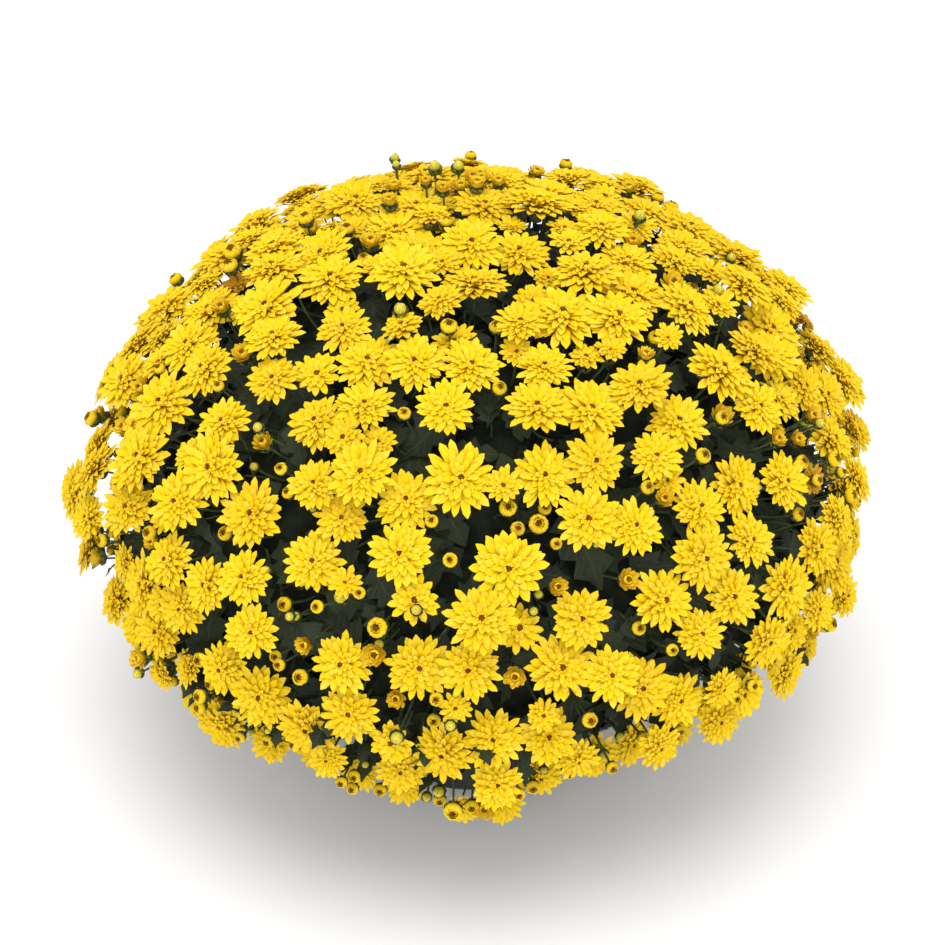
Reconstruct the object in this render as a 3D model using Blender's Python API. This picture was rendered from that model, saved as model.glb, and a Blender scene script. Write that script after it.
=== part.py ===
"""A garden chrysanthemum in full bloom, in a plain nursery pot.

Metres, +Z up. The origin is the centre of the pot's flat underside. Leafy branches stand in the soil
and fan out into a dome that hangs over the pot's rim. Its blooms grow in sprays on a shell round the
foliage: each bloom overlaps one of its own spray and stays clear of the others.
"""

import math
import random
from itertools import product

import bmesh
import bpy
from mathutils import Matrix, Vector

SEED = 13
UP = Vector((0.0, 0.0, 1.0))
GOLDEN_ANGLE = math.pi * (3.0 - math.sqrt(5.0))
FIT_GAP = 0.0003

# Pot and soil
POT_HEIGHT = 0.130
POT_FOOT_RADIUS = 0.076
POT_TOP_RADIUS = 0.099
RIM_RADIUS = 0.105
RIM_BAND = 0.015
RIM_LIP = 0.003
RIM_EDGE = 0.0008
FOOT_CHAMFER = 0.003
WALL = 0.0022
FLOOR_THICKNESS = 0.003
SOIL_EDGE = 0.117
SOIL_CROWN = 0.123
POT_SEGMENTS = 24
DRAIN_SLOTS = 8
DRAIN_SLOT_WIDTH = 0.014
DRAIN_SLOT_HEIGHT = 0.007
DRAIN_SLOT_LENGTH = 0.018

# Dome: the shell that the blooms' faces lie on, widest at the belt
BELT_RADIUS = 0.227
BELT_HEIGHT = 0.145
DOME_RISE = 0.197
SKIRT_DROP = 0.094
DOME_POWER = 0.88
SKIRT_POWER = 1.20
SKIRT_INSET_SHARE = 0.5
LOWEST_LATITUDE = math.radians(-34.0)
SLOPE_STEP = 0.01
AREA_STEPS = 120
CENTRE = Vector((0.0, 0.0, BELT_HEIGHT))

# Where the skirt hangs out below the shell, or is drawn in: (azimuth, half width, depth)
SAG_START = math.radians(-4.0)
SAGS = (
    (math.radians(-3.0), math.radians(28.0), 0.019),
    (math.radians(62.0), math.radians(46.0), -0.010),
    (math.radians(-76.0), math.radians(42.0), -0.010),
)

# Sprays of blooms
SPRAYS = 44
SPRAY_BLOOMS = 11
SPRAY_SINK = 0.008
BLOOM_JITTER = 0.0014
BLOOM_RADII = ((0.0175, 0.0210), (0.0155, 0.0182), (0.0130, 0.0155))
GROWTH_ROUNDS = (4, 8, 8)
GROWTH_TRIES = 26
PARENT_DISTANCES = (0.84, 0.80, 0.76, 0.72, 0.68)
OWN_SPRAY_DISTANCE = 0.84
SPRAY_CLEARANCE = 0.0006
THIN_SPOTS = 18
THIN_SPOT_RADII = (0.003, 0.013)
THIN_SPOT_START = 0.30
THIN_SPOT_EDGE = 0.6
BLOOM_LIFT = 0.14
STEEPEST_DOWN = -0.20

# A bloom's solid, in shares of its radius
MANY_PETALS = 6
FEW_PETALS = 5
MANY_PETALS_FROM = 0.0198
BLOOM_TOP = 0.14
BLOOM_DEPTH = 0.66
NOTCH_REACH = 0.77
NOTCH_DROP = 0.07
OVERLAP_MARGIN = 0.0003
PETAL_TEST_REACHES = (0.92, 0.84, 0.76, 0.68, 0.60)
PETAL_TEST_HEIGHTS = (0.1, 0.5, 0.9)

# Buds
BUDS = 210
BUD_RADII = (0.0036, 0.0058)
BUD_HEIGHTS = (-0.010, 0.006)
BUD_TRIES = 3000
BUD_SPACING = 0.0128
BUD_NECK = 1.1
BUD_TIP = 0.35
BUD_ROOM = 1.3
MODELLED_BUDS = 13
TUFT_BUDS = 6
TUFT_CENTRE = (0.004, 0.045)
TUFT_SPREAD = (0.050, 0.030)
TUFT_HEIGHTS = (0.006, 0.018)

# Branches: how many grow towards each elevation, seen from the dome's centre
BRANCH_RINGS = ((1, 90.0), (5, 47.0), (8, -4.0))
STEM_MEETING_HEIGHT = 0.032
STEM_RADII = (0.0036, 0.0026)
STEM_DEPTH_IN_SOIL = 0.030
STEM_DEPTH_IN_CORE = 0.014
STEM_RISE = 0.020
HOLE_CLEARANCE = 0.0004
HOLE_DEPTH_BELOW_STEM = 0.001
HOLE_SIDES = 6
HOLLOW_RADIUS = 0.068
HOLLOW_EDGE = math.radians(38.0)
CORE_INSET = 0.040
CORE_SEGMENTS = 16
CORE_LATITUDES = (90.0, 62.0, 34.0, 6.0, -16.0)
SKIRT_FOOT = (0.145, 0.087)
SKIRT_UNDERSIDE_RISE = 0.010
POT_ROOM = (0.012, 0.010)
LOWEST_ROOT = math.radians(-24.0)
ROOT_DEPTH = 0.014
BRANCH_GAP = 0.0016
BORDER_MARGIN = 0.0016
STALK_RADII = (0.0013, 0.0019)
LEAVES_PER_BRANCH = 3
LEAF_TRIES = 900
LEAF_SCATTER = 0.42
LEAF_LEANS = (0.5, 1.3)
LEAF_SPACING = 0.020
LEAF_LENGTHS = (0.032, 0.042)
LEAF_THICKNESS = 0.0009
LEAF_CLEARANCE = 0.0012
LEAF_STALK_GAP = 0.0026
LEAF_REACH_ALONG = 1.05
LEAF_REACH_ASIDE = 0.34
LEAF_TEST_REACH = 1.1
LEAF_TEST_SHARES = (0.0, 0.15, 0.30, 0.46, 0.58, 0.72, 0.86, 1.0)
LEAF_TEST_WIDTHS = (-0.30, -0.15, 0.0, 0.15, 0.30)

# A lobed leaf's outline, from its base to its tip, as shares of its length: (along, half width)
LEAF_OUTLINE = ((0.30, 0.30), (0.46, 0.14), (0.72, 0.30))
LEAF_MIDDLE = 0.50
LEAF_FOLD = 0.10
LEAF_DROOP = 0.16

GREEN_LEAF = ("leaf", (0.035, 0.085, 0.030, 1.0), 0.60)
YELLOW_PETAL = ("petal", (0.880, 0.520, 0.015, 1.0), 0.55)
DARK_PLASTIC = ("pot_plastic", (0.020, 0.026, 0.022, 1.0), 0.45)
POTTING_SOIL = ("soil", (0.045, 0.028, 0.018, 1.0), 0.95)


def clear_scene():
    for obj in list(bpy.data.objects):
        bpy.data.objects.remove(obj, do_unlink=True)


def material(finish):
    name, colour, roughness = finish
    found = bpy.data.materials.get(name)
    if found:
        return found
    made = bpy.data.materials.new(name)
    made.use_nodes = True
    shader = made.node_tree.nodes["Principled BSDF"]
    shader.inputs["Base Color"].default_value = colour
    shader.inputs["Roughness"].default_value = roughness
    shader.inputs["Metallic"].default_value = 0.0
    return made


def new_object(name, points, faces, finish=None, collection=None):
    """A mesh object with its faces pointing out, linked to the scene or to one collection."""
    mesh = bpy.data.meshes.new(name)
    mesh.from_pydata([tuple(p) for p in points], [], faces)
    work = bmesh.new()
    work.from_mesh(mesh)
    bmesh.ops.recalc_face_normals(work, faces=work.faces)
    bmesh.ops.triangulate(work, faces=work.faces)
    work.to_mesh(mesh)
    work.free()
    obj = bpy.data.objects.new(name, mesh)
    if finish:
        mesh.materials.append(material(finish))
    (collection or bpy.context.scene.collection).objects.link(obj)
    return obj


def combine(obj, helpers, operation):
    """Unites obj with the helper objects, or cuts them from it, applies that and removes them."""
    if not helpers:
        return
    group = bpy.data.collections.new(obj.name + "_repeats")
    bpy.context.scene.collection.children.link(group)
    for helper in helpers:
        for owner in list(helper.users_collection):
            owner.objects.unlink(helper)
        group.objects.link(helper)
    modifier = obj.modifiers.new("combine", "BOOLEAN")
    modifier.operation = operation
    modifier.solver = "MANIFOLD"
    modifier.operand_type = "COLLECTION"
    modifier.collection = group
    graph = bpy.context.evaluated_depsgraph_get()
    result = bpy.data.meshes.new_from_object(obj.evaluated_get(graph))
    obj.modifiers.clear()
    obj.data = result
    for helper in helpers:
        bpy.data.objects.remove(helper, do_unlink=True)
    bpy.data.collections.remove(group)


# Turned and tubular shapes


def turned(name, profile, segments, finish=None):
    """A solid of revolution from a closed outline of (radius, height); points on the axis are poles."""
    points = []
    rings = []
    for radius, height in profile:
        if radius < 1e-9:
            rings.append([len(points)] * segments)
            points.append((0.0, 0.0, height))
            continue
        rings.append([len(points) + k for k in range(segments)])
        for k in range(segments):
            angle = 2.0 * math.pi * k / segments
            points.append((radius * math.cos(angle), radius * math.sin(angle), height))
    faces = []
    for lower, upper in zip(rings, rings[1:] + rings[:1]):
        for k in range(segments):
            after = (k + 1) % segments
            corners = [lower[k], lower[after], upper[after], upper[k]]
            face = list(dict.fromkeys(corners))
            if len(face) > 2:
                faces.append(face)
    return new_object(name, points, faces, finish)


def tube(name, path, radii, sides):
    """A closed tapering tube along a path of points."""
    points = []
    for k, (centre, radius) in enumerate(zip(path, radii)):
        before = path[max(k - 1, 0)]
        after = path[min(k + 1, len(path) - 1)]
        turn = (after - before).to_track_quat("Z", "Y")
        for side in range(sides):
            angle = 2.0 * math.pi * side / sides
            points.append(centre + turn @ Vector((radius * math.cos(angle), radius * math.sin(angle), 0.0)))
    faces = [list(range(sides))[::-1], [len(points) - sides + k for k in range(sides)]]
    for ring in range(len(path) - 1):
        for side in range(sides):
            after = (side + 1) % sides
            low = ring * sides
            high = low + sides
            faces.append([low + side, low + after, high + after, high + side])
    return new_object(name, points, faces)


# The dome's shell


def shell_profile(latitude, inset):
    """Radius and height of the dome's shell at a latitude, or of a shell lying inset inside it."""
    power = DOME_POWER if latitude >= 0.0 else SKIRT_POWER
    across = abs(math.cos(latitude)) ** power
    rise = abs(math.sin(latitude)) ** power
    height = DOME_RISE - inset if latitude >= 0.0 else SKIRT_INSET_SHARE * inset - SKIRT_DROP
    return (BELT_RADIUS - inset) * across, BELT_HEIGHT + height * rise


def shell_latitude(point):
    """The latitude of the shell's point on the ray through a point near it."""
    height = point.z - BELT_HEIGHT
    rise = abs(height) / (DOME_RISE if height >= 0.0 else SKIRT_DROP)
    across = math.hypot(point.x, point.y) / BELT_RADIUS
    power = 1.0 / (DOME_POWER if height >= 0.0 else SKIRT_POWER)
    latitude = math.atan2(rise**power, across**power)
    return math.copysign(latitude, height)


def shell_point(azimuth, latitude):
    radius, height = shell_profile(latitude, 0.0)
    return Vector((radius * math.sin(azimuth), -radius * math.cos(azimuth), height))


def shell_normal(azimuth, latitude):
    low = shell_profile(latitude - SLOPE_STEP, 0.0)
    high = shell_profile(min(latitude + SLOPE_STEP, math.pi / 2.0), 0.0)
    outward = Vector((high[1] - low[1], low[0] - high[0])).normalized()
    return Vector((outward.x * math.sin(azimuth), -outward.x * math.cos(azimuth), outward.y))


def sag(azimuth, latitude):
    """How far out of the shell the skirt hangs at this place."""
    share = (SAG_START - latitude) / (SAG_START - LOWEST_LATITUDE)
    total = 0.0
    for middle, half_width, depth in SAGS:
        aside = min(abs(azimuth - middle) / half_width, 1.0)
        total += depth * 0.5 * (1.0 + math.cos(math.pi * aside))
    return total * min(max(share, 0.0), 1.0)


def even_latitude(share):
    """The latitude that has this share of the shell's area above it."""
    span = math.pi / 2.0 - LOWEST_LATITUDE
    reached = [0.0]
    for k in range(AREA_STEPS):
        above = shell_profile(math.pi / 2.0 - span * k / AREA_STEPS, 0.0)
        below = shell_profile(math.pi / 2.0 - span * (k + 1) / AREA_STEPS, 0.0)
        band = math.hypot(above[0] - below[0], above[1] - below[1]) * (above[0] + below[0])
        reached.append(reached[-1] + band)
    target = share * reached[-1]
    for k in range(AREA_STEPS):
        if reached[k + 1] >= target:
            part = (target - reached[k]) / (reached[k + 1] - reached[k])
            return math.pi / 2.0 - span * (k + part) / AREA_STEPS
    return LOWEST_LATITUDE


def facing(azimuth, latitude):
    """The way that a bloom faces: out of the shell, lifted towards the light."""
    normal = shell_normal(azimuth, latitude)
    normal.z = max(normal.z, STEEPEST_DOWN)
    return (normal + BLOOM_LIFT * UP).normalized()


# Where the blooms and buds grow


class Head:
    """A bloom or a bud: its centre, the way that it faces, its radius and what one petal points to."""

    def __init__(self, point, radius, offset, target=None):
        self.azimuth = math.atan2(point.x, -point.y)
        self.latitude = shell_latitude(point)
        self.radius = radius
        self.offset = offset
        self.axis = facing(self.azimuth, self.latitude)
        self.centre = shell_point(self.azimuth, self.latitude)
        out = offset + sag(self.azimuth, self.latitude)
        self.centre += out * shell_normal(self.azimuth, self.latitude)
        toward = (target if target else CENTRE) - self.centre
        self.forward = (toward - toward.dot(self.axis) * self.axis).normalized()

    def point(self, along, height):
        """A point in the plane of the axis and the forward petal, in shares of the radius."""
        return self.centre + self.radius * (along * self.forward + height * self.axis)

    def holds(self, point, reach, drop, margin):
        """Whether a point lies inside the double cone of this reach by a margin."""
        away = point - self.centre
        height = away.dot(self.axis)
        share = (away - height * self.axis).length / (reach * self.radius)
        top = self.radius * (BLOOM_TOP - share * (BLOOM_TOP + drop))
        bottom = self.radius * (share * (BLOOM_DEPTH - drop) - BLOOM_DEPTH)
        return share < 1.0 and bottom + margin < height < top - margin


def meets(child, parent):
    """Whether the child's forward petal runs well into the parent."""
    for along, share in product(PETAL_TEST_REACHES, PETAL_TEST_HEIGHTS):
        height = BLOOM_TOP - share * (BLOOM_TOP + BLOOM_DEPTH)
        point = child.point(along, (1.0 - along) * height)
        if parent.holds(point, NOTCH_REACH, NOTCH_DROP, OVERLAP_MARGIN):
            return True
    return False


def beside(head, distance, angle):
    """A point of the shell at this distance from a head, in this direction round it."""
    normal = shell_normal(head.azimuth, head.latitude)
    east = Vector((math.cos(head.azimuth), math.sin(head.azimuth), 0.0))
    north = normal.cross(east)
    return head.centre + distance * (math.cos(angle) * east + math.sin(angle) * north)


def has_room(head, parent, spray, sprays, spots):
    if head.latitude < LOWEST_LATITUDE:
        return False
    for centre, radius in spots:
        if (head.centre - centre).length < radius + THIN_SPOT_EDGE * head.radius:
            return False
    for other in sprays:
        for bloom in other:
            reach = bloom.radius + head.radius
            least = OWN_SPRAY_DISTANCE * reach if other is spray else reach + SPRAY_CLEARANCE
            if bloom is not parent and (head.centre - bloom.centre).length < least:
                return False
    return True


def thin_spots(draw):
    """Places where the blooms leave the foliage open: (centre, radius)."""
    spots = []
    for _ in range(THIN_SPOTS):
        latitude = even_latitude(draw.uniform(THIN_SPOT_START, 1.0))
        point = shell_point(draw.uniform(-math.pi, math.pi), latitude)
        spots.append((point, draw.uniform(*THIN_SPOT_RADII)))
    return spots


def grow_sprays(draw):
    """Sprays seeded evenly over the shell, each growing outwards bloom by bloom while there is room."""
    spots = thin_spots(draw)
    sprays = []
    for k in range(SPRAYS):
        latitude = even_latitude((k + 0.35 + 0.3 * draw.random()) / SPRAYS)
        azimuth = GOLDEN_ANGLE * k + draw.uniform(-0.12, 0.12)
        radius = draw.uniform(*BLOOM_RADII[0])
        sprays.append([Head(shell_point(azimuth, latitude), radius, -draw.uniform(0.0, SPRAY_SINK))])
    for rounds, radii in zip(GROWTH_ROUNDS, BLOOM_RADII):
        for _ in range(rounds):
            for spray in sprays:
                if len(spray) < SPRAY_BLOOMS:
                    grow_once(draw, spray, sprays, radii, spots)
    return sprays


def grow_once(draw, spray, sprays, radii, spots):
    """Adds one bloom to a spray, its forward petal in one that the spray has, if a place is found."""
    for _ in range(GROWTH_TRIES):
        parent = draw.choice(spray)
        radius = draw.uniform(*radii)
        angle = draw.uniform(-math.pi, math.pi)
        offset = spray[0].offset + draw.uniform(-BLOOM_JITTER, BLOOM_JITTER)
        for share in PARENT_DISTANCES:
            place = beside(parent, share * (parent.radius + radius), angle)
            head = Head(place, radius, offset, parent.centre)
            if not has_room(head, parent, spray, sprays, spots):
                break
            if meets(head, parent):
                spray.append(head)
                return


def any_bud(draw):
    point = shell_point(draw.uniform(-math.pi, math.pi), even_latitude(draw.random()))
    return Head(point, draw.uniform(*BUD_RADII), draw.uniform(*BUD_HEIGHTS))


def tuft_bud(draw):
    """A bud of the tuft that stands up behind the dome's top."""
    x, y = (middle + draw.uniform(-spread, spread) for middle, spread in zip(TUFT_CENTRE, TUFT_SPREAD))
    point = Vector((x, y, BELT_HEIGHT + DOME_RISE))
    return Head(point, draw.uniform(*BUD_RADII), draw.uniform(*TUFT_HEIGHTS))


def add_buds(buds, wanted, make, draw, blooms):
    """Adds buds until there are as many as wanted, each with room for itself and its stalk."""
    for _ in range(BUD_TRIES):
        if len(buds) >= wanted:
            return
        bud = make(draw)
        root = root_of(bud)
        clear_of_blooms = all(
            segment_distance(bloom.centre, root, bud.centre) > bloom.radius + bud.radius + SPRAY_CLEARANCE
            for bloom in blooms
        )
        clear_of_buds = all((bud.centre - other.centre).length > BUD_SPACING for other in buds)
        if clear_of_blooms and clear_of_buds:
            buds.append(bud)


def place_buds(draw, blooms):
    """Buds in the spaces between the blooms: a tuft at the top, then the rest all round."""
    buds = []
    add_buds(buds, TUFT_BUDS, tuft_bud, draw, blooms)
    add_buds(buds, BUDS, any_bud, draw, blooms)
    return buds


def segment_distance(point, start, end):
    run = end - start
    share = min(max((point - start).dot(run) / run.length_squared, 0.0), 1.0)
    return (point - start - share * run).length


def root_of(head):
    """Where a head's stalk leaves the foliage: in the core, a little below its surface."""
    latitude = max(head.latitude, LOWEST_ROOT)
    radius, height = shell_profile(latitude, CORE_INSET + ROOT_DEPTH)
    return Vector((radius * math.sin(head.azimuth), -radius * math.cos(head.azimuth), height))


# Blooms


def bloom_solid(name, head):
    """A low double cone with a pointed petal edge, one petal pointing forward."""
    petals = MANY_PETALS if head.radius > MANY_PETALS_FROM else FEW_PETALS
    aside = head.axis.cross(head.forward)
    points = [head.point(0.0, BLOOM_TOP), head.point(0.0, -BLOOM_DEPTH)]
    for k in range(2 * petals):
        angle = math.pi * k / petals
        reach = head.radius * (1.0 if k % 2 == 0 else NOTCH_REACH)
        drop = 0.0 if k % 2 == 0 else NOTCH_DROP * head.radius
        spoke = math.cos(angle) * head.forward + math.sin(angle) * aside
        points.append(head.centre + reach * spoke - drop * head.axis)
    faces = []
    for k in range(2 * petals):
        here = 2 + k
        after = 2 + (k + 1) % (2 * petals)
        faces.append([0, here, after])
        faces.append([1, after, here])
    return new_object(name, points, faces)


def build_spray(index, spray):
    name = f"spray_{index + 1:02d}"
    solids = [bloom_solid(f"{name}_bloom_{k}", head) for k, head in enumerate(spray)]
    solids[0].name = name
    solids[0].data.materials.append(material(YELLOW_PETAL))
    combine(solids[0], solids[1:], "UNION")


# Branches


def branch_directions():
    """Unit vectors from the dome's centre to the middle of each branch."""
    found = []
    for ring, (count, elevation) in enumerate(BRANCH_RINGS):
        height = math.radians(elevation)
        for k in range(count):
            azimuth = 2.0 * math.pi * (k + 0.5 * (ring % 2)) / count
            flat = math.cos(height)
            found.append(Vector((flat * math.sin(azimuth), -flat * math.cos(azimuth), math.sin(height))))
    return found


def border_distance(point, directions, index):
    """How far inside a branch's share of the dome a point lies; negative outside it."""
    own = directions[index]
    return min(
        (own - other).normalized().dot(point - CENTRE) for k, other in enumerate(directions) if k != index
    )


def branch_of(point, directions):
    return max(range(len(directions)), key=lambda k: directions[k].dot(point - CENTRE))


def sector(directions, index):
    """The wedge of space that one branch fills, cut from a cube by the planes to its neighbours."""
    work = bmesh.new()
    bmesh.ops.create_cube(work, size=1.0, matrix=Matrix.Translation(CENTRE))
    for k, other in enumerate(directions):
        if k == index:
            continue
        inward = (directions[index] - other).normalized()
        bmesh.ops.bisect_plane(
            work,
            geom=work.verts[:] + work.edges[:] + work.faces[:],
            plane_co=CENTRE + 0.5 * BRANCH_GAP * inward,
            plane_no=-inward,
            clear_outer=True,
        )
        bmesh.ops.holes_fill(work, edges=[edge for edge in work.edges if edge.is_boundary])
    mesh = bpy.data.meshes.new("sector")
    work.to_mesh(mesh)
    work.free()
    made = bpy.data.objects.new("sector", mesh)
    bpy.context.scene.collection.objects.link(made)
    return made


def core_profile():
    """Half the outline of the dense foliage: a cap over the pot with a skirt that hangs round it."""
    outline = [shell_profile(math.radians(latitude), CORE_INSET) for latitude in CORE_LATITUDES]
    outline[0] = (0.0, outline[0][1])
    beside_pot = RIM_RADIUS + POT_ROOM[0]
    above_pot = POT_HEIGHT + POT_ROOM[1]
    hollow = HOLLOW_RADIUS * math.cos(HOLLOW_EDGE)
    outline.append(SKIRT_FOOT)
    outline.append((beside_pot, SKIRT_FOOT[1] + SKIRT_UNDERSIDE_RISE))
    outline.append((beside_pot, above_pot))
    outline.append((hollow + SKIRT_UNDERSIDE_RISE, above_pot))
    outline.append((hollow, BELT_HEIGHT + HOLLOW_RADIUS * math.sin(HOLLOW_EDGE)))
    outline.append((0.0, BELT_HEIGHT + HOLLOW_RADIUS))
    return outline


def stem_path(direction):
    """A branch's stem: straight from its hole in the soil into its share of the dome."""
    target = CENTRE + (HOLLOW_RADIUS + STEM_DEPTH_IN_CORE) * direction
    target.z = max(target.z, POT_HEIGHT + STEM_RISE)
    meeting = Vector((0.0, 0.0, STEM_MEETING_HEIGHT))
    slope = (target - meeting).normalized()
    foot = meeting + slope * ((SOIL_EDGE - STEM_DEPTH_IN_SOIL - meeting.z) / slope.z)
    return foot, target


def stalk(name, head):
    """A three-sided stalk from the core to just below a bloom."""
    end = head.point(0.0, -BLOOM_DEPTH) - FIT_GAP * head.axis
    return tube(name, [root_of(head), end], list(STALK_RADII), 3)


def bud_solid(name, bud):
    """A bud on its stalk, as one tapering body of four sides."""
    neck = bud.centre - BUD_NECK * bud.radius * bud.axis
    tip = bud.centre + bud.radius * bud.axis
    radii = [STALK_RADII[0], STALK_RADII[0], bud.radius, BUD_TIP * bud.radius]
    return tube(name, [root_of(bud), neck, bud.centre, tip], radii, 4)


class Leaf:
    """A lobed leaf, folded along its midrib and drooping to its tip."""

    def __init__(self, base, along, face, length):
        self.base = base
        self.along = along
        self.across = face.cross(along).normalized()
        self.lift = along.cross(self.across).normalized()
        self.length = length

    def at(self, share, width):
        """A point of the upper face, from shares of the length."""
        rise = 2.0 * LEAF_FOLD * abs(width) - LEAF_DROOP * share * share
        return self.base + self.length * (share * self.along + width * self.across + rise * self.lift)

    def near(self, point):
        """Whether a point lies in or close to the blade."""
        away = (point - self.base) / self.length
        share = away.dot(self.along)
        width = away.dot(self.across)
        rise = 2.0 * LEAF_FOLD * abs(width) - LEAF_DROOP * share * share
        height = (away.dot(self.lift) - rise) * self.length
        beside = abs(width) < LEAF_REACH_ASIDE and abs(height) < LEAF_STALK_GAP
        return beside and 0.0 < share < LEAF_REACH_ALONG

    def solid(self, name):
        top = [self.at(0.0, 0.0), self.at(LEAF_MIDDLE, 0.0), self.at(1.0, 0.0)]
        for side in (1.0, -1.0):
            top.extend(self.at(share, side * width) for share, width in LEAF_OUTLINE)
        count = len(top)
        under = [p - LEAF_THICKNESS * self.lift for p in top]
        lobes = len(LEAF_OUTLINE)
        right = [0, *range(3, 3 + lobes), 2]
        left = [0, *range(3 + lobes, 3 + 2 * lobes), 2]
        faces = []
        for edge in (right, left):
            for a, b in zip(edge, edge[1:]):
                faces.extend([[a, b, 1], [a + count, b + count, 1 + count]])
                faces.extend([[a, b, b + count], [a, b + count, a + count]])
        return new_object(name, top + under, faces)


def leaf_is_clear(leaf, stalks, directions, index, blooms):
    """Whether a leaf lies in its branch's share of the dome, outside every bloom and beside the stalks."""
    for share, width in product(LEAF_TEST_SHARES, LEAF_TEST_WIDTHS):
        for under in (0.0, LEAF_THICKNESS):
            point = leaf.at(share, width) - under * leaf.lift
            if border_distance(point, directions, index) < BORDER_MARGIN:
                return False
            if any(bloom.holds(point, LEAF_TEST_REACH, 0.0, -LEAF_CLEARANCE) for bloom in blooms):
                return False
    return not any(leaf.near(start.lerp(end, k / 16)) for start, end in stalks for k in range(17))


def branch_leaves(name, directions, index, stalks, blooms, draw):
    """Leaves standing out of a branch's core, up between the blooms and inside the branch's share."""
    leaves = []
    for _ in range(LEAF_TRIES):
        if len(leaves) == LEAVES_PER_BRANCH:
            break
        outward = (directions[index] + LEAF_SCATTER * random_vector(draw)).normalized()
        latitude = max(shell_latitude(CENTRE + 0.1 * outward), LOWEST_ROOT)
        radius, height = shell_profile(latitude, CORE_INSET + ROOT_DEPTH)
        azimuth = math.atan2(outward.x, -outward.y)
        base = Vector((radius * math.sin(azimuth), -radius * math.cos(azimuth), height))
        outward = (base - CENTRE).normalized()
        sideways = outward.cross(random_vector(draw)).normalized()
        along = (outward + draw.uniform(*LEAF_LEANS) * sideways).normalized()
        face = (outward - outward.dot(along) * along).normalized()
        leaf = Leaf(base, along, face, draw.uniform(*LEAF_LENGTHS))
        apart = all((base - other.base).length > LEAF_SPACING for other in leaves)
        if apart and leaf_is_clear(leaf, stalks, directions, index, blooms):
            leaves.append(leaf)
    return [leaf.solid(f"{name}_leaf_{k}") for k, leaf in enumerate(leaves)]


def random_vector(draw):
    return Vector((draw.gauss(0.0, 1.0), draw.gauss(0.0, 1.0), draw.gauss(0.0, 1.0)))


def build_branch(index, directions, stalked, buds, blooms, draw):
    """One leafy branch: its stem, its share of the dense foliage, leaves, buds and the blooms' stalks."""
    name = f"branch_{index + 1:02d}"
    core = turned(name, core_profile(), CORE_SEGMENTS, GREEN_LEAF)
    combine(core, [sector(directions, index)], "INTERSECT")
    foot, target = stem_path(directions[index])
    grown = [tube(f"{name}_stem", [foot, target], list(STEM_RADII), 5)]
    for k, bloom in enumerate(stalked):
        grown.append(stalk(f"{name}_stalk_{k}", bloom))
    for k, bud in enumerate(buds):
        grown.append(bud_solid(f"{name}_bud_{k}", bud))
    stalks = [(root_of(head), head.centre) for head in stalked + buds]
    grown.extend(branch_leaves(name, directions, index, stalks, blooms, draw))
    combine(core, grown, "UNION")


def stalk_margin(head, widest, directions):
    """The branch that carries a head, and how far inside that branch's share its stalk stays."""
    low = head.point(0.0, -BLOOM_DEPTH)
    index = branch_of(low, directions)
    ends = [low, root_of(head)]
    return index, min(border_distance(end, directions, index) for end in ends) - widest


def share_stalks(sprays, buds, directions):
    """For each branch, the blooms and the buds whose stalks it carries."""
    stalked = [[] for _ in directions]
    for spray in sprays:
        found = [(stalk_margin(bloom, STALK_RADII[1], directions), bloom) for bloom in spray]
        (index, margin), bloom = max(found, key=lambda item: item[0][1])
        if margin > BORDER_MARGIN:
            stalked[index].append(bloom)
    budded = [[] for _ in directions]
    for bud in buds:
        index, margin = stalk_margin(bud, BUD_ROOM * bud.radius, directions)
        if margin > BORDER_MARGIN and sum(map(len, budded)) < MODELLED_BUDS:
            budded[index].append(bud)
    return stalked, budded


# Pot and soil


def build_pot():
    slope = (POT_TOP_RADIUS - POT_FOOT_RADIUS) / POT_HEIGHT
    band_foot = POT_HEIGHT - RIM_BAND
    outer_at_band = POT_FOOT_RADIUS + slope * band_foot
    profile = [
        (0.0, 0.0),
        (POT_FOOT_RADIUS - FOOT_CHAMFER, 0.0),
        (POT_FOOT_RADIUS, FOOT_CHAMFER),
        (outer_at_band, band_foot),
        (RIM_RADIUS - RIM_LIP, band_foot + RIM_EDGE),
        (RIM_RADIUS - RIM_EDGE, POT_HEIGHT - RIM_LIP),
        (RIM_RADIUS - RIM_EDGE, POT_HEIGHT - RIM_EDGE),
        (RIM_RADIUS - RIM_LIP, POT_HEIGHT),
        (POT_TOP_RADIUS - WALL, POT_HEIGHT - RIM_EDGE),
        (POT_FOOT_RADIUS + slope * FLOOR_THICKNESS - WALL, FLOOR_THICKNESS),
        (0.0, FLOOR_THICKNESS),
    ]
    pot = turned("pot", profile, POT_SEGMENTS, DARK_PLASTIC)
    combine(pot, [drain_slot(k) for k in range(DRAIN_SLOTS)], "DIFFERENCE")


def drain_slot(k):
    """A block that cuts one drain slot across the corner of the wall and the floor."""
    angle = 2.0 * math.pi * (k + 0.5) / DRAIN_SLOTS
    work = bmesh.new()
    place = Matrix.Rotation(angle, 4, "Z") @ Matrix.Translation((POT_FOOT_RADIUS, 0.0, 0.0))
    size = Matrix.Diagonal((DRAIN_SLOT_LENGTH, DRAIN_SLOT_WIDTH, 2.0 * DRAIN_SLOT_HEIGHT, 1.0))
    bmesh.ops.create_cube(work, size=1.0, matrix=place @ size)
    mesh = bpy.data.meshes.new("drain")
    work.to_mesh(mesh)
    work.free()
    made = bpy.data.objects.new(f"drain_{k}", mesh)
    bpy.context.scene.collection.objects.link(made)
    return made


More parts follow.
